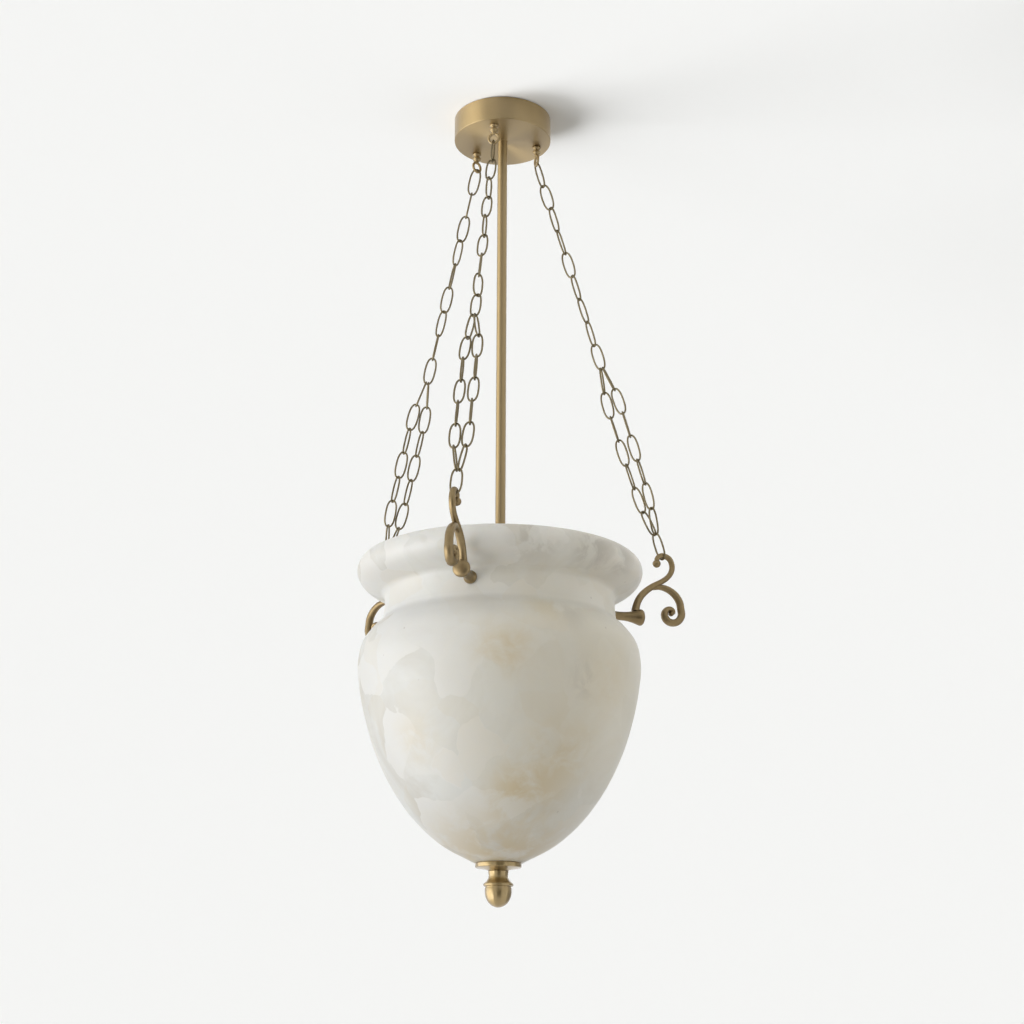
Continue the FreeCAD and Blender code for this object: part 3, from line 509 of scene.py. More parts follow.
# %% [markdown]
# ## The bracket's shape
# A bracket is cast or forged brass. A hook with a little ball at its tip flows through an S into
# the inner leg, and an arm springs from it, drops outward and rolls up into a volute. The S has
# no formula, so it is a smooth curve through points. The volute has one: its radius shrinks
# evenly with the angle. Points are (distance from the rod's axis, height).

# %% Place the bracket's two bars
HOOK_BALL = (194.6, -560.6)
HOOK_BALL_R = 4.9
HOOK_TO_FOOT = [HOOK_BALL, (195.6, -554.0), HOOK_TOP, (210.6, -553.4), (214.2, -562.0),
                (212.6, -570.4), (207.4, -577.4), (198.6, -583.6), (189.2, -589.0), (180.0, -595.8),
                (173.0, -603.4), (168.6, -612.0), (166.4, -621.0)]
ARM_START = [(189.0, -591.4), (198.0, -589.6), (205.4, -590.6), (212.6, -594.0), (218.8, -599.6),
             (222.8, -606.6)]
VOLUTE = (211.3, -621.1)           # the middle of the roll
VOLUTE_RADII = (14.4, 2.6)         # where it starts and where it ends
VOLUTE_FROM = 27.0
VOLUTE_SWEEP = 380.0
VOLUTE_POINTS = 14
HOOK_STEPS = 8
ARM_STEPS = 7


def volute_points():
    """Points on a spiral that rolls inward."""
    points = []
    for i in range(VOLUTE_POINTS):
        share = i / (VOLUTE_POINTS - 1)
        angle = math.radians(VOLUTE_FROM - VOLUTE_SWEEP * share)
        radius = VOLUTE_RADII[0] + (VOLUTE_RADII[1] - VOLUTE_RADII[0]) * share
        points.append((VOLUTE[0] + radius * math.cos(angle), VOLUTE[1] + radius * math.sin(angle)))
    return points


hook_path = smooth([Vector((r, 0, z)) for r, z in HOOK_TO_FOOT], HOOK_STEPS)
arm_path = smooth([Vector((r, 0, z)) for r, z in ARM_START + volute_points()], ARM_STEPS)
print("the hook's path has", len(hook_path), "points and the arm's", len(arm_path))

# %% [markdown]
# ## The bracket's thickness
# A forged bar swells and thins along its length, and this bracket is thickest where the arm bends
# and where the leg meets its foot. A short list of half widths is read evenly along each path, so
# a width can be changed without touching the path. The ball and the volute's eye are spheres, the
# eye stretched sideways to stand out from the roll.

# %% Thicken the bars
HOOK_HALF = (2.6, 3.1, 3.3, 3.4, 3.4, 3.3, 3.2, 3.3, 3.7, 4.0, 4.2, 4.3, 4.9)
HOOK_ACROSS = (2.6, 3.2, 3.4, 3.5, 3.6, 3.6, 3.6, 3.9, 4.4, 4.6, 4.6, 4.5, 4.9)
ARM_HALF = (2.4, 3.8, 4.4, 4.5, 4.5, 4.4, 4.2, 3.9, 3.4, 2.9, 2.3)
ARM_ACROSS = (3.0, 4.3, 4.7, 4.8, 5.0, 5.4, 5.8, 6.0, 5.8, 5.2, 4.4)
VOLUTE_EYE = (VOLUTE[0] + 0.5, 0, VOLUTE[1] + 0.4)
VOLUTE_EYE_R = 3.2
VOLUTE_EYE_STRETCH = (1, 1.7, 1)
BALL_RINGS = 12
BALL_SIDES = 20


def read_along(values, count):
    """Values read evenly along a short list, in straight steps between its entries."""
    read = []
    for i in range(count):
        place = i * (len(values) - 1) / max(count - 1, 1)
        low = min(int(place), len(values) - 2)
        read.append(values[low] + (values[low + 1] - values[low]) * (place - low))
    return read


def bar(path, in_plane, across):
    """A bar along a path in the side frame, with half widths read along two short lists."""
    return sweep(path, read_along(in_plane, len(path)), read_along(across, len(path)), TANGENT)


def ball(centre, radius, stretch=(1, 1, 1)):
    """A sphere, or a stretched one."""
    outline = []
    for i in range(BALL_RINGS + 1):
        turn = math.pi * i / BALL_RINGS
        outline.append((radius * math.sin(turn), radius * math.cos(turn)))
    outline[0], outline[-1] = (0, radius), (0, -radius)
    points, faces = lathe(outline, BALL_SIDES)
    stretched = [Vector([length * factor for length, factor in zip(point, stretch)]) for point in points]
    return [point + Vector(centre) for point in stretched], faces


scroll = [bar(hook_path, HOOK_HALF, HOOK_ACROSS), bar(arm_path, ARM_HALF, ARM_ACROSS),
          ball((HOOK_BALL[0], 0, HOOK_BALL[1]), HOOK_BALL_R),
          ball(VOLUTE_EYE, VOLUTE_EYE_R, VOLUTE_EYE_STRETCH)]
print("the scroll is", len(scroll), "pieces")

# %% [markdown]
# ## The bracket's foot
# The foot is a small turned baluster that lies on its side, from a thin flange on the stone to a
# knob under the leg. It is turned upright, like the other turned forms, and then laid down. Its
# outline is given in shares of its length, so that it can be made longer or shorter.

# %% Turn the foot and hang the brackets
STUD_Z = -628.3
FOOT_START = NECK_R + 2.2          # the flange's face on the pad
FOOT_END = 177.2
FOOT_SIDES = 40
FOOT_OUTLINE = ((0, 7.2), (0.03, 7.5), (0.07, 7.2), (0.1, 6.0), (0.18, 5.2), (0.3, 5.0), (0.42, 5.2),
                (0.56, 5.9), (0.68, 7.1), (0.78, 8.5), (0.85, 9.5), (0.89, 9.8), (0.925, 9.5),
                (0.96, 8.2), (0.985, 5.8), (0.998, 2.8))


def bracket_foot():
    """The baluster, laid along the side frame's X."""
    outline = [(0, FOOT_START)]
    outline += [(radius, FOOT_START + (FOOT_END - FOOT_START) * share) for share, radius in FOOT_OUTLINE]
    outline.append((0, FOOT_END))
    upright = lathe([(radius, -height) for radius, height in outline], FOOT_SIDES)
    lying = Matrix.Translation((0, 0, STUD_Z)) @ Matrix.Rotation(math.radians(-90), 4, "Y")
    return moved(upright, lying)


bracket = joined(*scroll, bracket_foot())
for side in SIDES:
    obj = new_mesh("scroll_" + side, moved(bracket, side_turn(side)), sharp=50)
    stands_for(obj, "pendant", "antique_brass", "bracket_" + side)

# %% [markdown]
# ## The canopy
# The canopy is a shallow spun cup of brass that hides the fixings on the ceiling. Its corners are
# a little round, as spun metal's are, and it is this small round that catches a line of light. A
# Bevel modifier would round them too, but rounding the outline before it is turned gives clean
# rings of faces.

# %% Ease the corners and turn the canopy
CANOPY_R = 60.0
CANOPY_WALL = 1.5
CANOPY_HOLE_R = 5.3
CANOPY_EASE = 1.3
CANOPY_SIDES = 192
EASE_STEPS = 4
EASE_REACH = 0.45                  # the share of an edge that a rounded corner may take


def eased(corners, radius):
    """The outline with each corner but the first and last rounded off."""
    outline = [corners[0]]
    for before, here, after in zip(corners, corners[1:], corners[2:]):
        back = Vector(before) - Vector(here)
        ahead = Vector(after) - Vector(here)
        cut = min(radius, back.length * EASE_REACH, ahead.length * EASE_REACH)
        start = Vector(here) + back.normalized() * cut
        end = Vector(here) + ahead.normalized() * cut
        for i in range(EASE_STEPS + 1):
            t = i / EASE_STEPS
            point = start * (1 - t) ** 2 + Vector(here) * (2 * t * (1 - t)) + end * t ** 2
            outline.append((point.x, point.y))
    return outline + [corners[-1]]


inner_r = CANOPY_R - CANOPY_WALL
inner_z = FLOOR_Z + CANOPY_WALL
shell = eased([(inner_r, 0), (CANOPY_R, 0), (CANOPY_R, FLOOR_Z), (CANOPY_HOLE_R, FLOOR_Z),
               (CANOPY_HOLE_R, inner_z), (inner_r, inner_z), (inner_r, 0)], CANOPY_EASE)
canopy = new_mesh("canopy_shell", lathe(shell, CANOPY_SIDES), sharp=35)
stands_for(canopy, "pendant", "satin_brass", "canopy")

# %% [markdown]
# ## The eye bolts
# Each chain hangs from a turned bolt with two beads and an eye. The upper part is turned and the
# eye is a ring of wire that runs into its lower end. On the real one they are a single piece of
# brass, and two overlapping meshes look the same, with no need for a Boolean and its ragged
# faces. The eye is drawn a little stouter than in the CAD model, as the links are.

# %% Turn the beads, bend the eye and hang three of them
EYE_RING_R = 6.0
EYE_SHANK_R = 2.5
EYE_SHANK_TOP = -0.5
EYE_STOUTER = 0.35
EYE_STEPS = 40
EYE_SIDES = 32
EYE_RING_TOP = FLOOR_Z - EYE_DROP + 2 * EYE_RING_R
EYE_END = (2.2, EYE_RING_TOP - 0.6)
EYE_BEADS = ((4.4, 0), (5.2, 0.7), (5.4, 1.6), (5.0, 2.6), (3.6, 3.3), (2.9, 4.0), (3.3, 4.6), (4.6, 5.6),
             (5.2, 7.2), (4.8, 8.9), (3.5, 10.0), (2.4, 10.7), (2.6, 11.4))   # (radius, below the canopy)


def eye_bolt():
    """The bolt with its eye across the side frame's X."""
    outline = [(0, EYE_SHANK_TOP), (EYE_SHANK_R, EYE_SHANK_TOP), (EYE_SHANK_R, FLOOR_Z)]
    outline += [(radius, FLOOR_Z - below) for radius, below in EYE_BEADS]
    outline += [EYE_END, (0, EYE_END[1])]
    centre = Vector((0, 0, FLOOR_Z - EYE_DROP + EYE_RING_R))
    path = []
    for i in range(EYE_STEPS):
        turn = 2 * math.pi * i / EYE_STEPS
        path.append(centre + Vector((0, math.cos(turn), math.sin(turn))) * (EYE_RING_R + EYE_STOUTER))
    wire = [EYE_WIRE_R + EYE_STOUTER] * EYE_STEPS
    ring = sweep(path, wire, wire, Vector((1, 0, 0)), WIRE_SIDES, closed=True)
    return moved(joined(lathe(outline, EYE_SIDES), ring), Matrix.Translation((EYE_CIRCLE_R, 0, 0)))


for side in SIDES:
    obj = new_mesh("eye_" + side, moved(eye_bolt(), side_turn(side)), sharp=50)
    stands_for(obj, "pendant", "satin_brass", "eye_bolt_" + side)

# %% [markdown]
# ## The rod
# The rod is a plain drawn tube through which the wires run. It is one closed outline, turned, so
# that its bore and its two ends are there as well. A cylinder would look the same from afar, but
# a tube is hollow.

# %% Turn the rod
ROD_R = 6.0
ROD_WALL = 1.0
ROD_FOOT = -698.0
ROD_SIDES = 64
rod_bore = ROD_R - ROD_WALL
tube = [(ROD_R, FLOOR_Z), (ROD_R, ROD_FOOT), (rod_bore, ROD_FOOT), (rod_bore, FLOOR_Z)]
rod = new_mesh("rod_tube", lathe(tube, ROD_SIDES, closed=True))
stands_for(rod, "pendant", "satin_brass", "rod")

# %% [markdown]
# ## The saucer
# The saucer is a thin turned plate under the bowl's foot, which spreads the finial's push over
# the pad. Its edge is square and stands up around the pad a little, and underneath it steps down
# to a small boss. Its corners are eased in the same way as the canopy's.

# %% Turn the saucer
SAUCER_TOP = -921.5                # the face under the pad
SAUCER_R = 25.7
SAUCER_RIM = 1.2
SAUCER_EASE = 0.9
SAUCER_SIDES = 96
SAUCER_OUTLINE = ((4.3, 0), (21.2, 0), (21.6, -SAUCER_RIM), (SAUCER_R, -SAUCER_RIM), (SAUCER_R, 3.6),
                  (SAUCER_R - 3.0, 4.2), (17.0, 5.0), (12.4, 6.2), (11.4, 7.0), (4.3, 7.0), (4.3, 0))
plate = eased([(radius, SAUCER_TOP - below) for radius, below in SAUCER_OUTLINE], SAUCER_EASE)
saucer = new_mesh("saucer_plate", lathe(plate, SAUCER_SIDES), sharp=35)
stands_for(saucer, "saucer", "satin_brass", "saucer")

# %% [markdown]
# ## The acorn finial
# The finial screws onto the tie rod and holds everything below the bowl. It has a waisted neck, a
# flared collar with a bead, and an acorn that ends in half an ellipse. The neck and collar are
# points of the turned outline, and the ellipse is worked out. The finial rides on its own body,
# because it turns as it is unscrewed, while the saucer only comes down.

# %% Turn the finial
FINIAL_TOP = SAUCER_TOP - 7.3
ACORN_R = 14.8
ACORN_TALL = 16.8
ACORN_BELOW = 22.6                 # where the half ellipse starts
ACORN_STEPS = 18
FINIAL_SIDES = 96
FINIAL_OUTLINE = ((4.05, 0), (11.0, 0), (11.4, 0.5), (11.0, 2.6), (10.7, 4.8), (10.9, 7.0), (11.8, 9.0),
                  (13.4, 11.2), (15.2, 12.8), (16.3, 13.8), (16.7, 15.0), (16.5, 16.0), (15.6, 16.7),
                  (14.5, 17.1), (14.4, 17.7), (ACORN_R, 18.6), (ACORN_R, ACORN_BELOW))
acorn = [(radius, FINIAL_TOP - below) for radius, below in FINIAL_OUTLINE]
for i in range(1, ACORN_STEPS):
    turn = math.radians(-90 * i / ACORN_STEPS)
    acorn.append((ACORN_R * math.cos(turn), FINIAL_TOP - ACORN_BELOW + ACORN_TALL * math.sin(turn)))
acorn.append((0, FINIAL_TOP - ACORN_BELOW - ACORN_TALL))
finial = new_mesh("acorn_finial", lathe(acorn, FINIAL_SIDES), sharp=40)
stands_for(finial, "finial", "satin_brass", "finial")

# %% [markdown]
# ## Shader maths
# A material is a tree of nodes, and a formula built node by node is hard to read. This class
# wraps the output of a node so that plain + - and * on it add the Math nodes. Colours aren't
# numbers and are mixed by a Mix node further down.

# %% Wrap a node's output
class Socket:
    """The output of a shader node, on which plain arithmetic adds Math nodes."""

    def __init__(self, look, output):
        self.look = look
        self.output = output

    def math(self, operation, other, swap=False):
        pair = (other, self) if swap else (self, other)
        return self.look.node("ShaderNodeMath", {"operation": operation}, {0: pair[0], 1: pair[1]})

    def __add__(self, other):
        return self.math("ADD", other)

    def __radd__(self, other):
        return self.math("ADD", other)

    def __mul__(self, other):
        return self.math("MULTIPLY", other)

    def __rmul__(self, other):
        return self.math("MULTIPLY", other)

    def __sub__(self, other):
        return self.math("SUBTRACT", other)

    def __rsub__(self, other):
        return self.math("SUBTRACT", other, swap=True)


print("sockets know", [name for name in vars(Socket) if name.startswith("__r")], "as well")

# %% [markdown]
# ## Materials
# Every finish starts from the Principled shader. What is the same all over is set on its sockets,
# and what varies over a surface is linked to them. One method adds any node: its type, then its
# settings, then the values or links of its sockets. The few mixtures that are used often get a
# short method of their own.

# %% Build materials by one node method
class Look:
    """A material, its shader and one method that adds any node."""

    def __init__(self, name, **constants):
        self.material = bpy.data.materials.new(name)
        self.material.use_nodes = True
        self.tree = self.material.node_tree
        self.shader = self.tree.nodes["Principled BSDF"]
        for key, value in constants.items():
            socket = self.shader.inputs[key.replace("_", " ")]
            socket.default_value = (*value, 1.0) if socket.type == "RGBA" else value

    def node(self, kind, settings=None, inputs=None, out=0):
        node = self.tree.nodes.new(kind)
        for key, value in (settings or {}).items():
            if key == "stops":
                self.set_stops(node.color_ramp, value)
            else:
                setattr(node, key, value)
        for key, value in (inputs or {}).items():
            if isinstance(value, Socket):
                self.tree.links.new(value.output, node.inputs[key])
            elif isinstance(value, tuple) and node.inputs[key].type == "RGBA":
                node.inputs[key].default_value = (*value, 1.0)
            else:
                node.inputs[key].default_value = value
        return Socket(self, node.outputs[out])

    def set_stops(self, ramp, stops):
        while len(ramp.elements) < len(stops):
            ramp.elements.new(1.0)
        for element, (place, grey) in zip(ramp.elements, stops):
            element.position = place
            element.color = (grey, grey, grey, 1.0)

    def here(self, scale=(1, 1, 1), offset=(0, 0, 0)):
        """The place on the object, in metres of its own frame."""
        place = self.node("ShaderNodeTexCoord", out="Object")
        return self.node("ShaderNodeMapping", None, {"Vector": place, "Scale": scale, "Location": offset})

    def noise(self, place, scale, detail, rough=0.5, bend=0.0):
        return self.node("ShaderNodeTexNoise", None, {"Vector": place, "Scale": scale, "Detail": detail,
                                                      "Roughness": rough, "Distortion": bend})

    def ramp(self, value, *stops):
        return self.node("ShaderNodeValToRGB", {"stops": stops}, {"Fac": value})

    def mix(self, factor, a, b):
        return self.node("ShaderNodeMix", {"data_type": "RGBA"}, {"Factor": factor, 6: a, 7: b}, out=2)

    def patch(self, centre, size):
        """1 at a place in the row frame, in metres, falling to 0 at size away from it."""
        place = self.node("ShaderNodeTexCoord", out="Object")
        away = self.node("ShaderNodeVectorMath", {"operation": "DISTANCE"}, {0: place, 1: centre},
                         out="Value")
        return self.node("ShaderNodeMapRange", {"interpolation_type": "SMOOTHSTEP"},
                         {"Value": away, "From Min": 0.0, "From Max": size, "To Min": 1.0, "To Max": 0.0})

    def set(self, **links):
        for key, value in links.items():
            self.tree.links.new(value.output, self.shader.inputs[key.replace("_", " ")])

    def bump(self, height, strength, distance):
        self.set(Normal=self.node("ShaderNodeBump", None, {"Height": height, "Strength": strength,
                                                           "Distance": distance}))


print("a look has", [name for name in vars(Look) if not name.startswith("_")])

# %% [markdown]
# ## The brass finishes
# The canopy and rod are satin brass under lacquer: brushed along the turning, which stretches
# highlights sideways, so the shader is anisotropic and has a soft clear coat. The saucer and the
# finial are the same brass, polished a little more. The brackets are antique brass, brown in
# places and brighter in others. One function makes every metal here from a light and a dark
# colour, because they differ in little but colours and gloss.

# %% Mix the metals
FINE_GRAIN = 220.0
BROAD_GRAIN = 28.0
BROAD_SHARE = 0.6                  # of the change of colour, and the rest is the fine grain's
FINE_GLOSS = 0.10                  # how much the fine grain changes the roughness
BROAD_GLOSS = 0.04
GRAIN_BUMP = (0.05, 0.0004)        # strength and depth in metres


def brass(name, light, dark, rough, streak=(1, 1, 1), **constants):
    """A satin metal whose colour and gloss vary a little, along the streaks of its polishing."""
    look = Look(name, Metallic=1.0, **constants)
    fine = look.noise(look.here(streak), FINE_GRAIN, detail=3.0)
    broad = look.noise(look.here(), BROAD_GRAIN, detail=2.0)
    look.set(Base_Color=look.mix(broad * BROAD_SHARE + fine * (1 - BROAD_SHARE), dark, light))
    look.set(Roughness=(fine - 0.5) * FINE_GLOSS + (broad - 0.5) * BROAD_GLOSS + rough)
    look.bump(fine, *GRAIN_BUMP)
    print(name, "has", len(look.tree.nodes), "nodes")
    return look.material


satin = brass("satin brass", (0.42, 0.308, 0.148), (0.345, 0.246, 0.108), 0.48, (1, 1, 12),
              Anisotropic=0.9, Anisotropic_Rotation=0.25, Coat_Weight=0.8, Coat_Roughness=0.30)
antique = brass("antique brass", (0.37, 0.285, 0.155), (0.16, 0.108, 0.052), 0.42)
chain_metal = brass("chain brass", (0.26, 0.215, 0.13), (0.15, 0.12, 0.07), 0.34)
polished = brass("polished brass", (0.40, 0.298, 0.142), (0.31, 0.220, 0.094), 0.36,
                 Anisotropic=0.85, Anisotropic_Rotation=0.25, Coat_Weight=0.8, Coat_Roughness=0.18)
lamp_metal = brass("lamp brass", (0.62, 0.52, 0.33), (0.56, 0.46, 0.28), 0.34, (1, 1, 8))
screw_metal = brass("screw brass", (0.66, 0.54, 0.30), (0.60, 0.48, 0.26), 0.28)
zinc = brass("zinc plate", (0.60, 0.60, 0.58), (0.52, 0.52, 0.50), 0.38)
cap_metal = brass("cap aluminium", (0.74, 0.73, 0.69), (0.68, 0.67, 0.63), 0.26)

# %% [markdown]
# ## Alabaster: the ground
# Alabaster is a soft, slightly see-through stone. Light goes in a little way and comes out again,
# which is subsurface scattering, and it softens every edge of a shadow. Its colour is cloudy:
# pale and grey clouds in one slow noise, and over them rounded pieces of a milkier stone with
# crisp edges, like grains pressed together. A photograph wrapped around the bowl would stretch
# and show a seam. A solid texture runs through the stone as its real clouds do.

# %% Lay the clouds and the grains
PALE = (0.755, 0.766, 0.748)
MILK = (0.800, 0.800, 0.780)
GREY = (0.655, 0.645, 0.605)
# The colour of the painted shade on the side turned away from the key light.
SHADE_SAND = (0.705, 0.665, 0.560)
# The honey colour of real stains, also used as painted shade in some of the warm patches.
HONEY_STAIN_AND_SHADE = (0.655, 0.560, 0.385)
SMOKE = (0.520, 0.495, 0.440)
SPECK = (0.34, 0.31, 0.26)
BEND = (0.055, 0.055, 0.055)       # metres by which the grains' edges wander

stone = Look("alabaster", Roughness=0.46, Subsurface_Weight=0.6, Subsurface_Radius=(1.0, 0.9, 0.75),
             Subsurface_Scale=0.020)
clouds = stone.noise(stone.here(), scale=9.0, detail=5.0, rough=0.60, bend=0.8)
mottle = stone.noise(stone.here(offset=(3, 1, 2)), scale=30.0, detail=5.0, rough=0.62, bend=0.5)
wander = stone.node("ShaderNodeTexNoise", None, {"Vector": stone.here(), "Scale": 14.0, "Detail": 4.0},
                    out="Color")
bent = stone.node("ShaderNodeVectorMath", {"operation": "MULTIPLY_ADD"},
                  {0: wander, 1: BEND, 2: stone.here()})
grains = stone.node("ShaderNodeTexVoronoi", {"feature": "SMOOTH_F1"},
                    {"Vector": bent, "Scale": 21.0, "Smoothness": 0.12}, out="Color")
milkiness = stone.node("ShaderNodeSeparateColor", None, {0: grains}, out="Red")
warmth = stone.node("ShaderNodeSeparateColor", None, {0: grains}, out="Green")
ground = stone.mix(stone.ramp(clouds, (0.40, 0.0), (0.62, 1.0)), PALE, GREY)
ground = stone.mix(stone.ramp(milkiness, (0.48, 0.0), (0.64, 0.80)), ground, MILK)
print("the ground has", len(stone.tree.nodes), "nodes")

# %% [markdown]
# ## Alabaster: the patches and the painted shade
# Each real bowl has its own stains: a few honey-coloured patches and some smoky ones, most of them on
# the lip. Over them lies painted shade. One broad side, turned away from the key light, is tinted
# darker and sandier, and some of the warm patches, on the front right and round the foot, are
# painted shade too. Noise alone wouldn't put them where this bowl has them. So each is a soft ball
# of space at a chosen place, cut ragged by the mottled noise, and the stone inside it is tinted.
# Places are given as seen from the camera, which is how they were found.

# %% Tint the patches, paint the shade and dot the specks
CAMERA_TURN = math.radians(13.796)   # the camera's way round from the front bracket
# The shaded side: painted shade, a broad darker and sandier tint where the bowl turns away from the key
# light.
SHADED_SIDE = (46, 185, -745)         # bearing, radius, height
SHADED_SIDE_REACH = 0.285                  # metres
SPECK_STRENGTH = 0.35
# Warm patches: partly real honey stains, and partly painted shade that warms and darkens the front right
# and the foot, away from the key light.
WARM_STAINS_AND_SHADE = (                     # bearing, radius, height, size in metres, strength
    (2, 160, -712, 0.050, 0.75), (20, 140, -668, 0.042, 0.60), (-40, 135, -800, 0.045, 0.45),
    (14, 108, -856, 0.060, 1.00), (6, 30, -925, 0.120, 0.95), (30, 115, -815, 0.070, 0.75),
    (48, 150, -735, 0.055, 0.35), (150, 150, -700, 0.070, 0.45), (-130, 150, -760, 0.065, 0.40),
    (100, 140, -820, 0.060, 0.40), (-175, 150, -620, 0.050, 0.35))
SMOKE_PATCHES = (
    (14, 160, -588, 0.042, 0.70), (40, 163, -592, 0.044, 0.85), (58, 163, -590, 0.040, 0.70),
    (30, 155, -668, 0.030, 0.45), (36, 155, -738, 0.034, 0.40), (-150, 163, -590, 0.045, 0.50),
    (120, 150, -690, 0.045, 0.40), (-95, 150, -745, 0.040, 0.30))


def seen_at(bearing, radius, height):
    """A place in the row frame, in metres. bearing is degrees from the camera, right positive."""
    angle = math.radians(bearing - 90) + CAMERA_TURN
    return (radius * math.cos(angle) * MM, radius * math.sin(angle) * MM, height * MM)


def tinted(ground, patches, colour, edge):
    """The ground with ragged patches of a colour."""
    for bearing, radius, height, size, strength in patches:
        spot = stone.patch(seen_at(bearing, radius, height), size)
        ground = stone.mix(spot * stone.ramp(mottle, *edge) * strength, ground, colour)
    return ground


# Painted shade: the side turned away from the key light is tinted darker and sandier.
shaded_side = stone.patch(seen_at(*SHADED_SIDE), SHADED_SIDE_REACH)
ground = stone.mix(shaded_side * stone.ramp(clouds, (0.25, 0.80), (0.70, 1.0)), ground, SHADE_SAND)
ground = stone.mix(stone.ramp(warmth, (0.62, 0.0), (0.80, 0.12)), ground, HONEY_STAIN_AND_SHADE)
# Warm patches: real stains, and painted shade on the front right and round the foot.
ground = tinted(ground, WARM_STAINS_AND_SHADE, HONEY_STAIN_AND_SHADE, ((0.38, 0.25), (0.56, 1.0)))
ground = tinted(ground, SMOKE_PATCHES, SMOKE, ((0.44, 0.0), (0.54, 1.0)))
dots = stone.node("ShaderNodeTexVoronoi", None, {"Vector": stone.here(), "Scale": 34.0}, out="Distance")
rare = stone.noise(stone.here(offset=(7, 3, 5)), scale=11.0, detail=2.0)
dots = stone.ramp(dots, (0.035, 1.0), (0.060, 0.0)) * stone.ramp(rare, (0.52, 0.0), (0.58, 1.0))
stone.set(Base_Color=stone.mix(dots * SPECK_STRENGTH, ground, SPECK))
stone.bump(stone.noise(stone.here(), scale=240.0, detail=3.0), *GRAIN_BUMP)
print("the stone has", len(WARM_STAINS_AND_SHADE), "warm patches and", len(SMOKE_PATCHES), "smoky ones")

# %% [markdown]
# ## Glass, plastics and rubber, and the painting
# The lamps are frosted glass, the lampholders and the terminal block are plastic, and soft pads
# keep the brass off the stone. These small things are alike all over, so constants are enough.
# Then every piece gets the look of its slot: the CAD nodes from the record's list, and the pieces
# made here from the finishes kept above.

# %% Paint every piece
glass = Look("frosted glass", Base_Color=(0.92, 0.91, 0.88), Roughness=0.45, Transmission_Weight=0.35)
cream = Look("cream plastic", Base_Color=(0.80, 0.78, 0.72), Roughness=0.5)
white = Look("white plastic", Base_Color=(0.85, 0.85, 0.83), Roughness=0.45)
rubber = Look("silicone pad", Base_Color=(0.60, 0.58, 0.53), Roughness=0.6)
LOOKS = {"satin_brass": satin, "antique_brass": antique, "chain_brass": chain_metal,
         "lamp_brass": lamp_metal, "screw_brass": screw_metal, "plate_zinc": zinc,
         "cap_metal": cap_metal, "alabaster": stone.material, "bulb_glass": glass.material,
         "holder_plastic": cream.material, "terminal_plastic": white.material,
         "rubber_pads": rubber.material}


def paint(obj, material):
    """Gives an object one material and no other."""
    obj.data.materials.clear()
    obj.data.materials.append(material)


for part in frame["record"]["subparts"]:
    paint(nodes[part["node"]], LOOKS[part["material_slot"]])
for name, slot in finishes.items():
    paint(bpy.data.objects[name], LOOKS[slot])
paint(saucer, polished)
paint(finial, polished)
print("painted", len(nodes), "CAD nodes and", len(finishes), "new pieces")

# %% [markdown]
# ## The ceiling
# The light hangs from a white ceiling that fills the picture behind it, and the canopy's soft
# shadow lies on it. Light Path's ray kinds let the same paint look paler to the camera, to mirrors
# and through glass than it is for the light that it throws on the object. From above it is
# clear, so that a view from there shows the light and not the top of a ceiling.

# %% Make the ceiling
CEILING_R = 60.0                   # metres
CEILING_Z = 0.0006                 # just above the canopy's rim, in metres
CEILING_SIDES = 96
PAINT = (0.80, 0.80, 0.80)
PAINT_SEEN = (0.97, 0.985, 1.0)


def background_rays(look):
    """1 for the rays that show a background: the camera's, mirror rays and rays through glass."""
    kinds = [look.node("ShaderNodeLightPath", out=name)
             for name in ("Is Camera Ray", "Is Glossy Ray", "Is Transmission Ray")]
    seen = kinds[0].math("MAXIMUM", kinds[1])
    return seen.math("MAXIMUM", kinds[2])


bpy.ops.mesh.primitive_circle_add(vertices=CEILING_SIDES, radius=CEILING_R, fill_type="NGON",
                                  location=(0, 0, CEILING_Z), rotation=(math.pi, 0, 0))
ceiling = bpy.context.object
ceiling.name = "ceiling"
plaster = Look("ceiling paint", Roughness=1.0, Specular_IOR_Level=0.0)
plaster.set(Base_Color=plaster.mix(background_rays(plaster), PAINT, PAINT_SEEN))
from_above = plaster.node("ShaderNodeNewGeometry", out="Backfacing")
clear = plaster.node("ShaderNodeBsdfTransparent", None, {"Color": (1.0, 1.0, 1.0)})
painted = Socket(plaster, plaster.shader.outputs[0])
one_sided = plaster.node("ShaderNodeMixShader", None, {0: from_above, 1: painted, 2: clear})
plaster.tree.links.new(one_sided.output, plaster.tree.nodes["Material Output"].inputs["Surface"])
ceiling.data.materials.append(plaster.material)
print("the ceiling is", 2 * CEILING_R, "m across")

# %% [markdown]
# ## The room's light
# A pale room lights the object from all round, and less from below, where a floor would throw
# some of the light back. An image of a room would do this too, and would put a picture of its own
# into the metal. Here the level depends on the height of a direction alone. To the camera and in
# mirrors the room is the pale paper of a studio.

# %% Light the world
PAPER = (0.922, 0.922, 0.922)
ROOM_ABOVE = (0.530, 0.515, 0.482)
ROOM_BELOW = (0.235, 0.225, 0.200)


class Room(Look):
    """The world, with the same node method as a material."""

    def __init__(self, name):
        self.world = bpy.data.worlds.new(name)
        self.world.use_nodes = True
        self.tree = self.world.node_tree
        self.shader = self.tree.nodes["Background"]


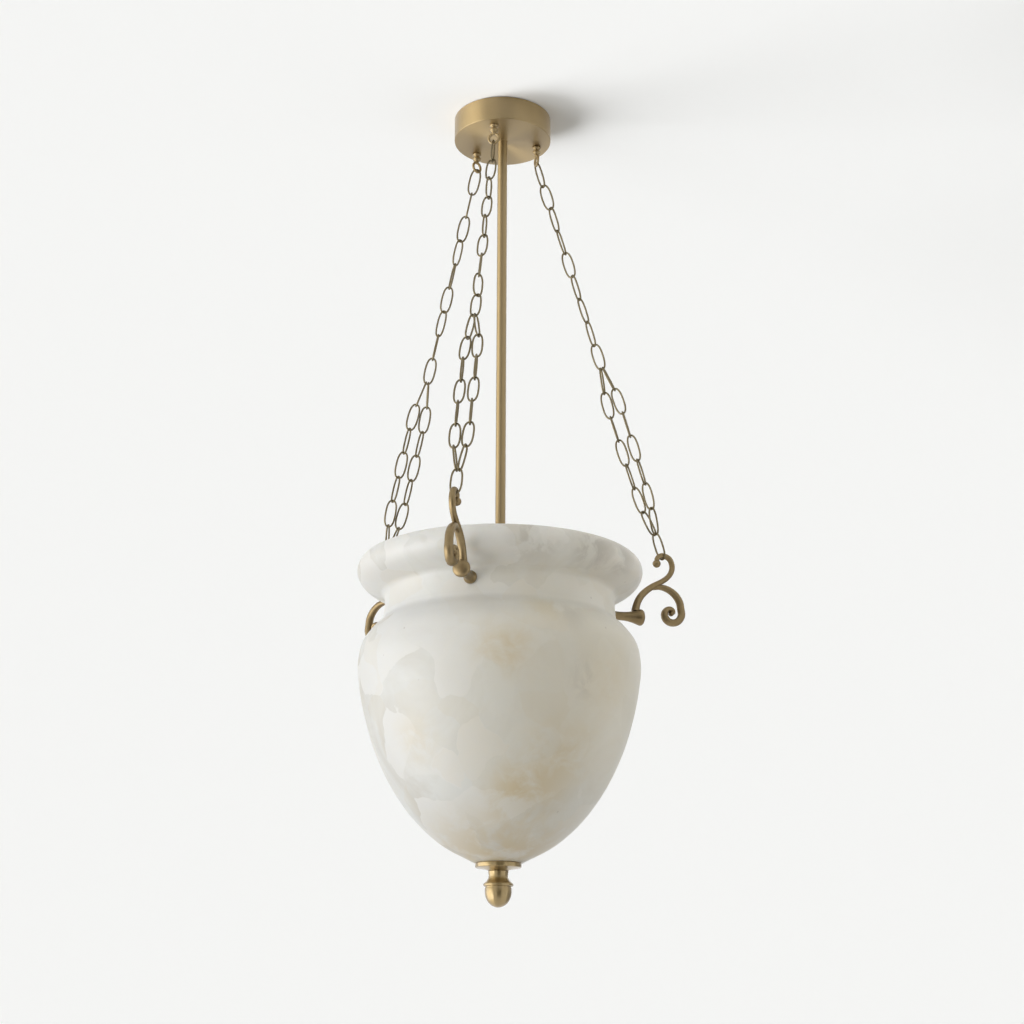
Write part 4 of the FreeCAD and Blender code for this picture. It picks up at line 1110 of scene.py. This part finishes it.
room = Room("room")
bpy.context.scene.world = room.world
direction = room.node("ShaderNodeTexCoord", out="Generated")
height = room.node("ShaderNodeSeparateXYZ", None, {0: direction}, out="Z")
downward = room.node("ShaderNodeMapRange", None, {"Value": height, "From Min": 0.0, "From Max": -1.0})
room.set(Color=room.mix(downward, ROOM_ABOVE, ROOM_BELOW))
paper = room.node("ShaderNodeBackground", None, {"Color": PAPER, "Strength": 1.0})
lit = Socket(room, room.shader.outputs[0])
both = room.node("ShaderNodeMixShader", None, {0: background_rays(room), 1: lit, 2: paper})
room.tree.links.new(both.output, room.tree.nodes["World Output"].inputs["Surface"])
print("the room has", len(room.tree.nodes), "nodes")

# %% [markdown]
# ## The lamps
# The main light is a large soft one at the viewer's left, in front and below, which throws the
# canopy's shadow to the right. A weaker one from behind and right brightens the stone's far edge.
# A third is linked to the ceiling alone and keeps it even and pale, with no more light on the
# object. Suns are used because their light doesn't fall off, so the bowl and the canopy are lit
# alike. A course is the way that light travels, as seen from the camera.

# %% Hang the suns
LAMP_REACH = 3.0                   # metres from the rod's axis
LAMP_HEIGHT = -0.6


def faced(obj, course, reach, height):
    """Stands an object at a distance along a direction, in the camera's own left-right sense."""
    course = Matrix.Rotation(CAMERA_TURN, 3, "Z") @ Vector(course).normalized()
    obj.rotation_euler = course.to_track_quat("-Z", "Y").to_euler()
    obj.location = -course * reach + Vector((0, 0, height))
    return obj


def sun(name, course, energy, angle):
    """A sun lamp. angle is its width in degrees, and a wide one throws soft shadows."""
    light = bpy.data.lights.new(name, "SUN")
    light.energy = energy
    light.angle = math.radians(angle)
    obj = bpy.data.objects.new(name, light)
    bpy.context.scene.collection.objects.link(obj)
    print(name, "has strength", energy, "and is", angle, "degrees wide")
    return faced(obj, course, LAMP_REACH, LAMP_HEIGHT)


sun("key", course=(0.90, 0.34, 0.34), energy=1.50, angle=44)
sun("rim", course=(-0.90, -0.30, 0.05), energy=0.95, angle=60)
wash = sun("ceiling wash", course=(0.85, -0.27, 0.40), energy=3.12, angle=34)
only_ceiling = bpy.data.collections.new("only the ceiling")
only_ceiling.objects.link(ceiling)
wash.light_linking.receiver_collection = only_ceiling

# %% [markdown]
# ## The cards
# Metal looks like what it mirrors. In an even room brass looks like painted plastic, so studios
# stand bright and dark cards around it. Three cards stand around the object here. Only
# reflections show them, and they throw no shadow. The bright one on the left makes the light band
# of the canopy and rod, and the dark ones make the deep bands beside it.

# %% Stand the cards
CARD_REACH = 3.0
CARD_TALL = 3.0
CARD_DROP = 0.02                   # from the ceiling to a card's upper edge


def card(name, bearing, width, strength):
    """A card that only reflections show. bearing is degrees from the camera, right positive."""
    angle = math.radians(bearing)
    bpy.ops.mesh.primitive_plane_add(size=1)
    obj = bpy.context.object
    obj.name = name
    obj.scale = (width, CARD_TALL, 1)
    look = Look(name, Base_Color=(0.0, 0.0, 0.0), Roughness=1.0, Specular_IOR_Level=0.0,
                Emission_Color=(1.0, 1.0, 1.0), Emission_Strength=strength)
    obj.data.materials.append(look.material)
    obj.visible_camera = False
    obj.visible_diffuse = False
    obj.visible_shadow = False
    faced(obj, (-math.sin(angle), math.cos(angle), 0), CARD_REACH, -CARD_TALL / 2 - CARD_DROP)
    print(name, "is", width, "m wide and has strength", strength)


card("bright card", bearing=-92, width=3.4, strength=2.8)
card("front dark card", bearing=8, width=2.2, strength=0.12)
card("right dark card", bearing=118, width=3.6, strength=0.30)

# %% [markdown]
# ## The camera
# The photograph was taken from about two metres away and from a little lower than the finial,
# looking up. The camera's place and tilt were found by matching the outlines of the canopy, the
# lip and the foot. A Track To constraint would level the camera, and this one rolls a little, so
# its matrix is built from its own three directions.

# %% Place the camera
LENS = 63.2                        # millimetres, on a sensor 36 mm wide
SENSOR = 36.0
SEES_TO = 200.0                    # metres
TILT = 0.29869                     # radians
ROLL = 0.00371
YAW = 0.00675
DISTANCE = 2.014                   # metres from the rod's axis
DROP = 1.1339                      # metres below the ceiling

camera_data = bpy.data.cameras.new("camera")
camera = bpy.data.objects.new("camera", camera_data)
bpy.context.scene.collection.objects.link(camera)
bpy.context.scene.camera = camera
camera_data.sensor_width = SENSOR
camera_data.lens = LENS
camera_data.clip_end = SEES_TO
turned = Matrix.Rotation(CAMERA_TURN, 3, "Z")
forward = turned @ Vector((math.sin(YAW) * math.cos(TILT), math.cos(YAW) * math.cos(TILT), math.sin(TILT)))
right = turned @ Vector((math.cos(YAW), -math.sin(YAW), 0))
up = turned @ Vector((-math.sin(YAW) * math.sin(TILT), -math.cos(YAW) * math.sin(TILT), math.cos(TILT)))
rolled_right = right * math.cos(ROLL) + up * math.sin(ROLL)
rolled_up = up * math.cos(ROLL) - right * math.sin(ROLL)
place = turned @ Vector((0, -DISTANCE, 0)) + Vector((0, 0, -DROP))
rows = [(rolled_right[i], rolled_up[i], -forward[i], place[i]) for i in range(3)]
camera.matrix_world = Matrix(rows + [(0, 0, 0, 1)])
bpy.context.scene.view_settings.view_transform = "Standard"
print("the camera stands at", [round(length, 3) for length in place])

# %% [markdown] The real sizes are the CAD model's.
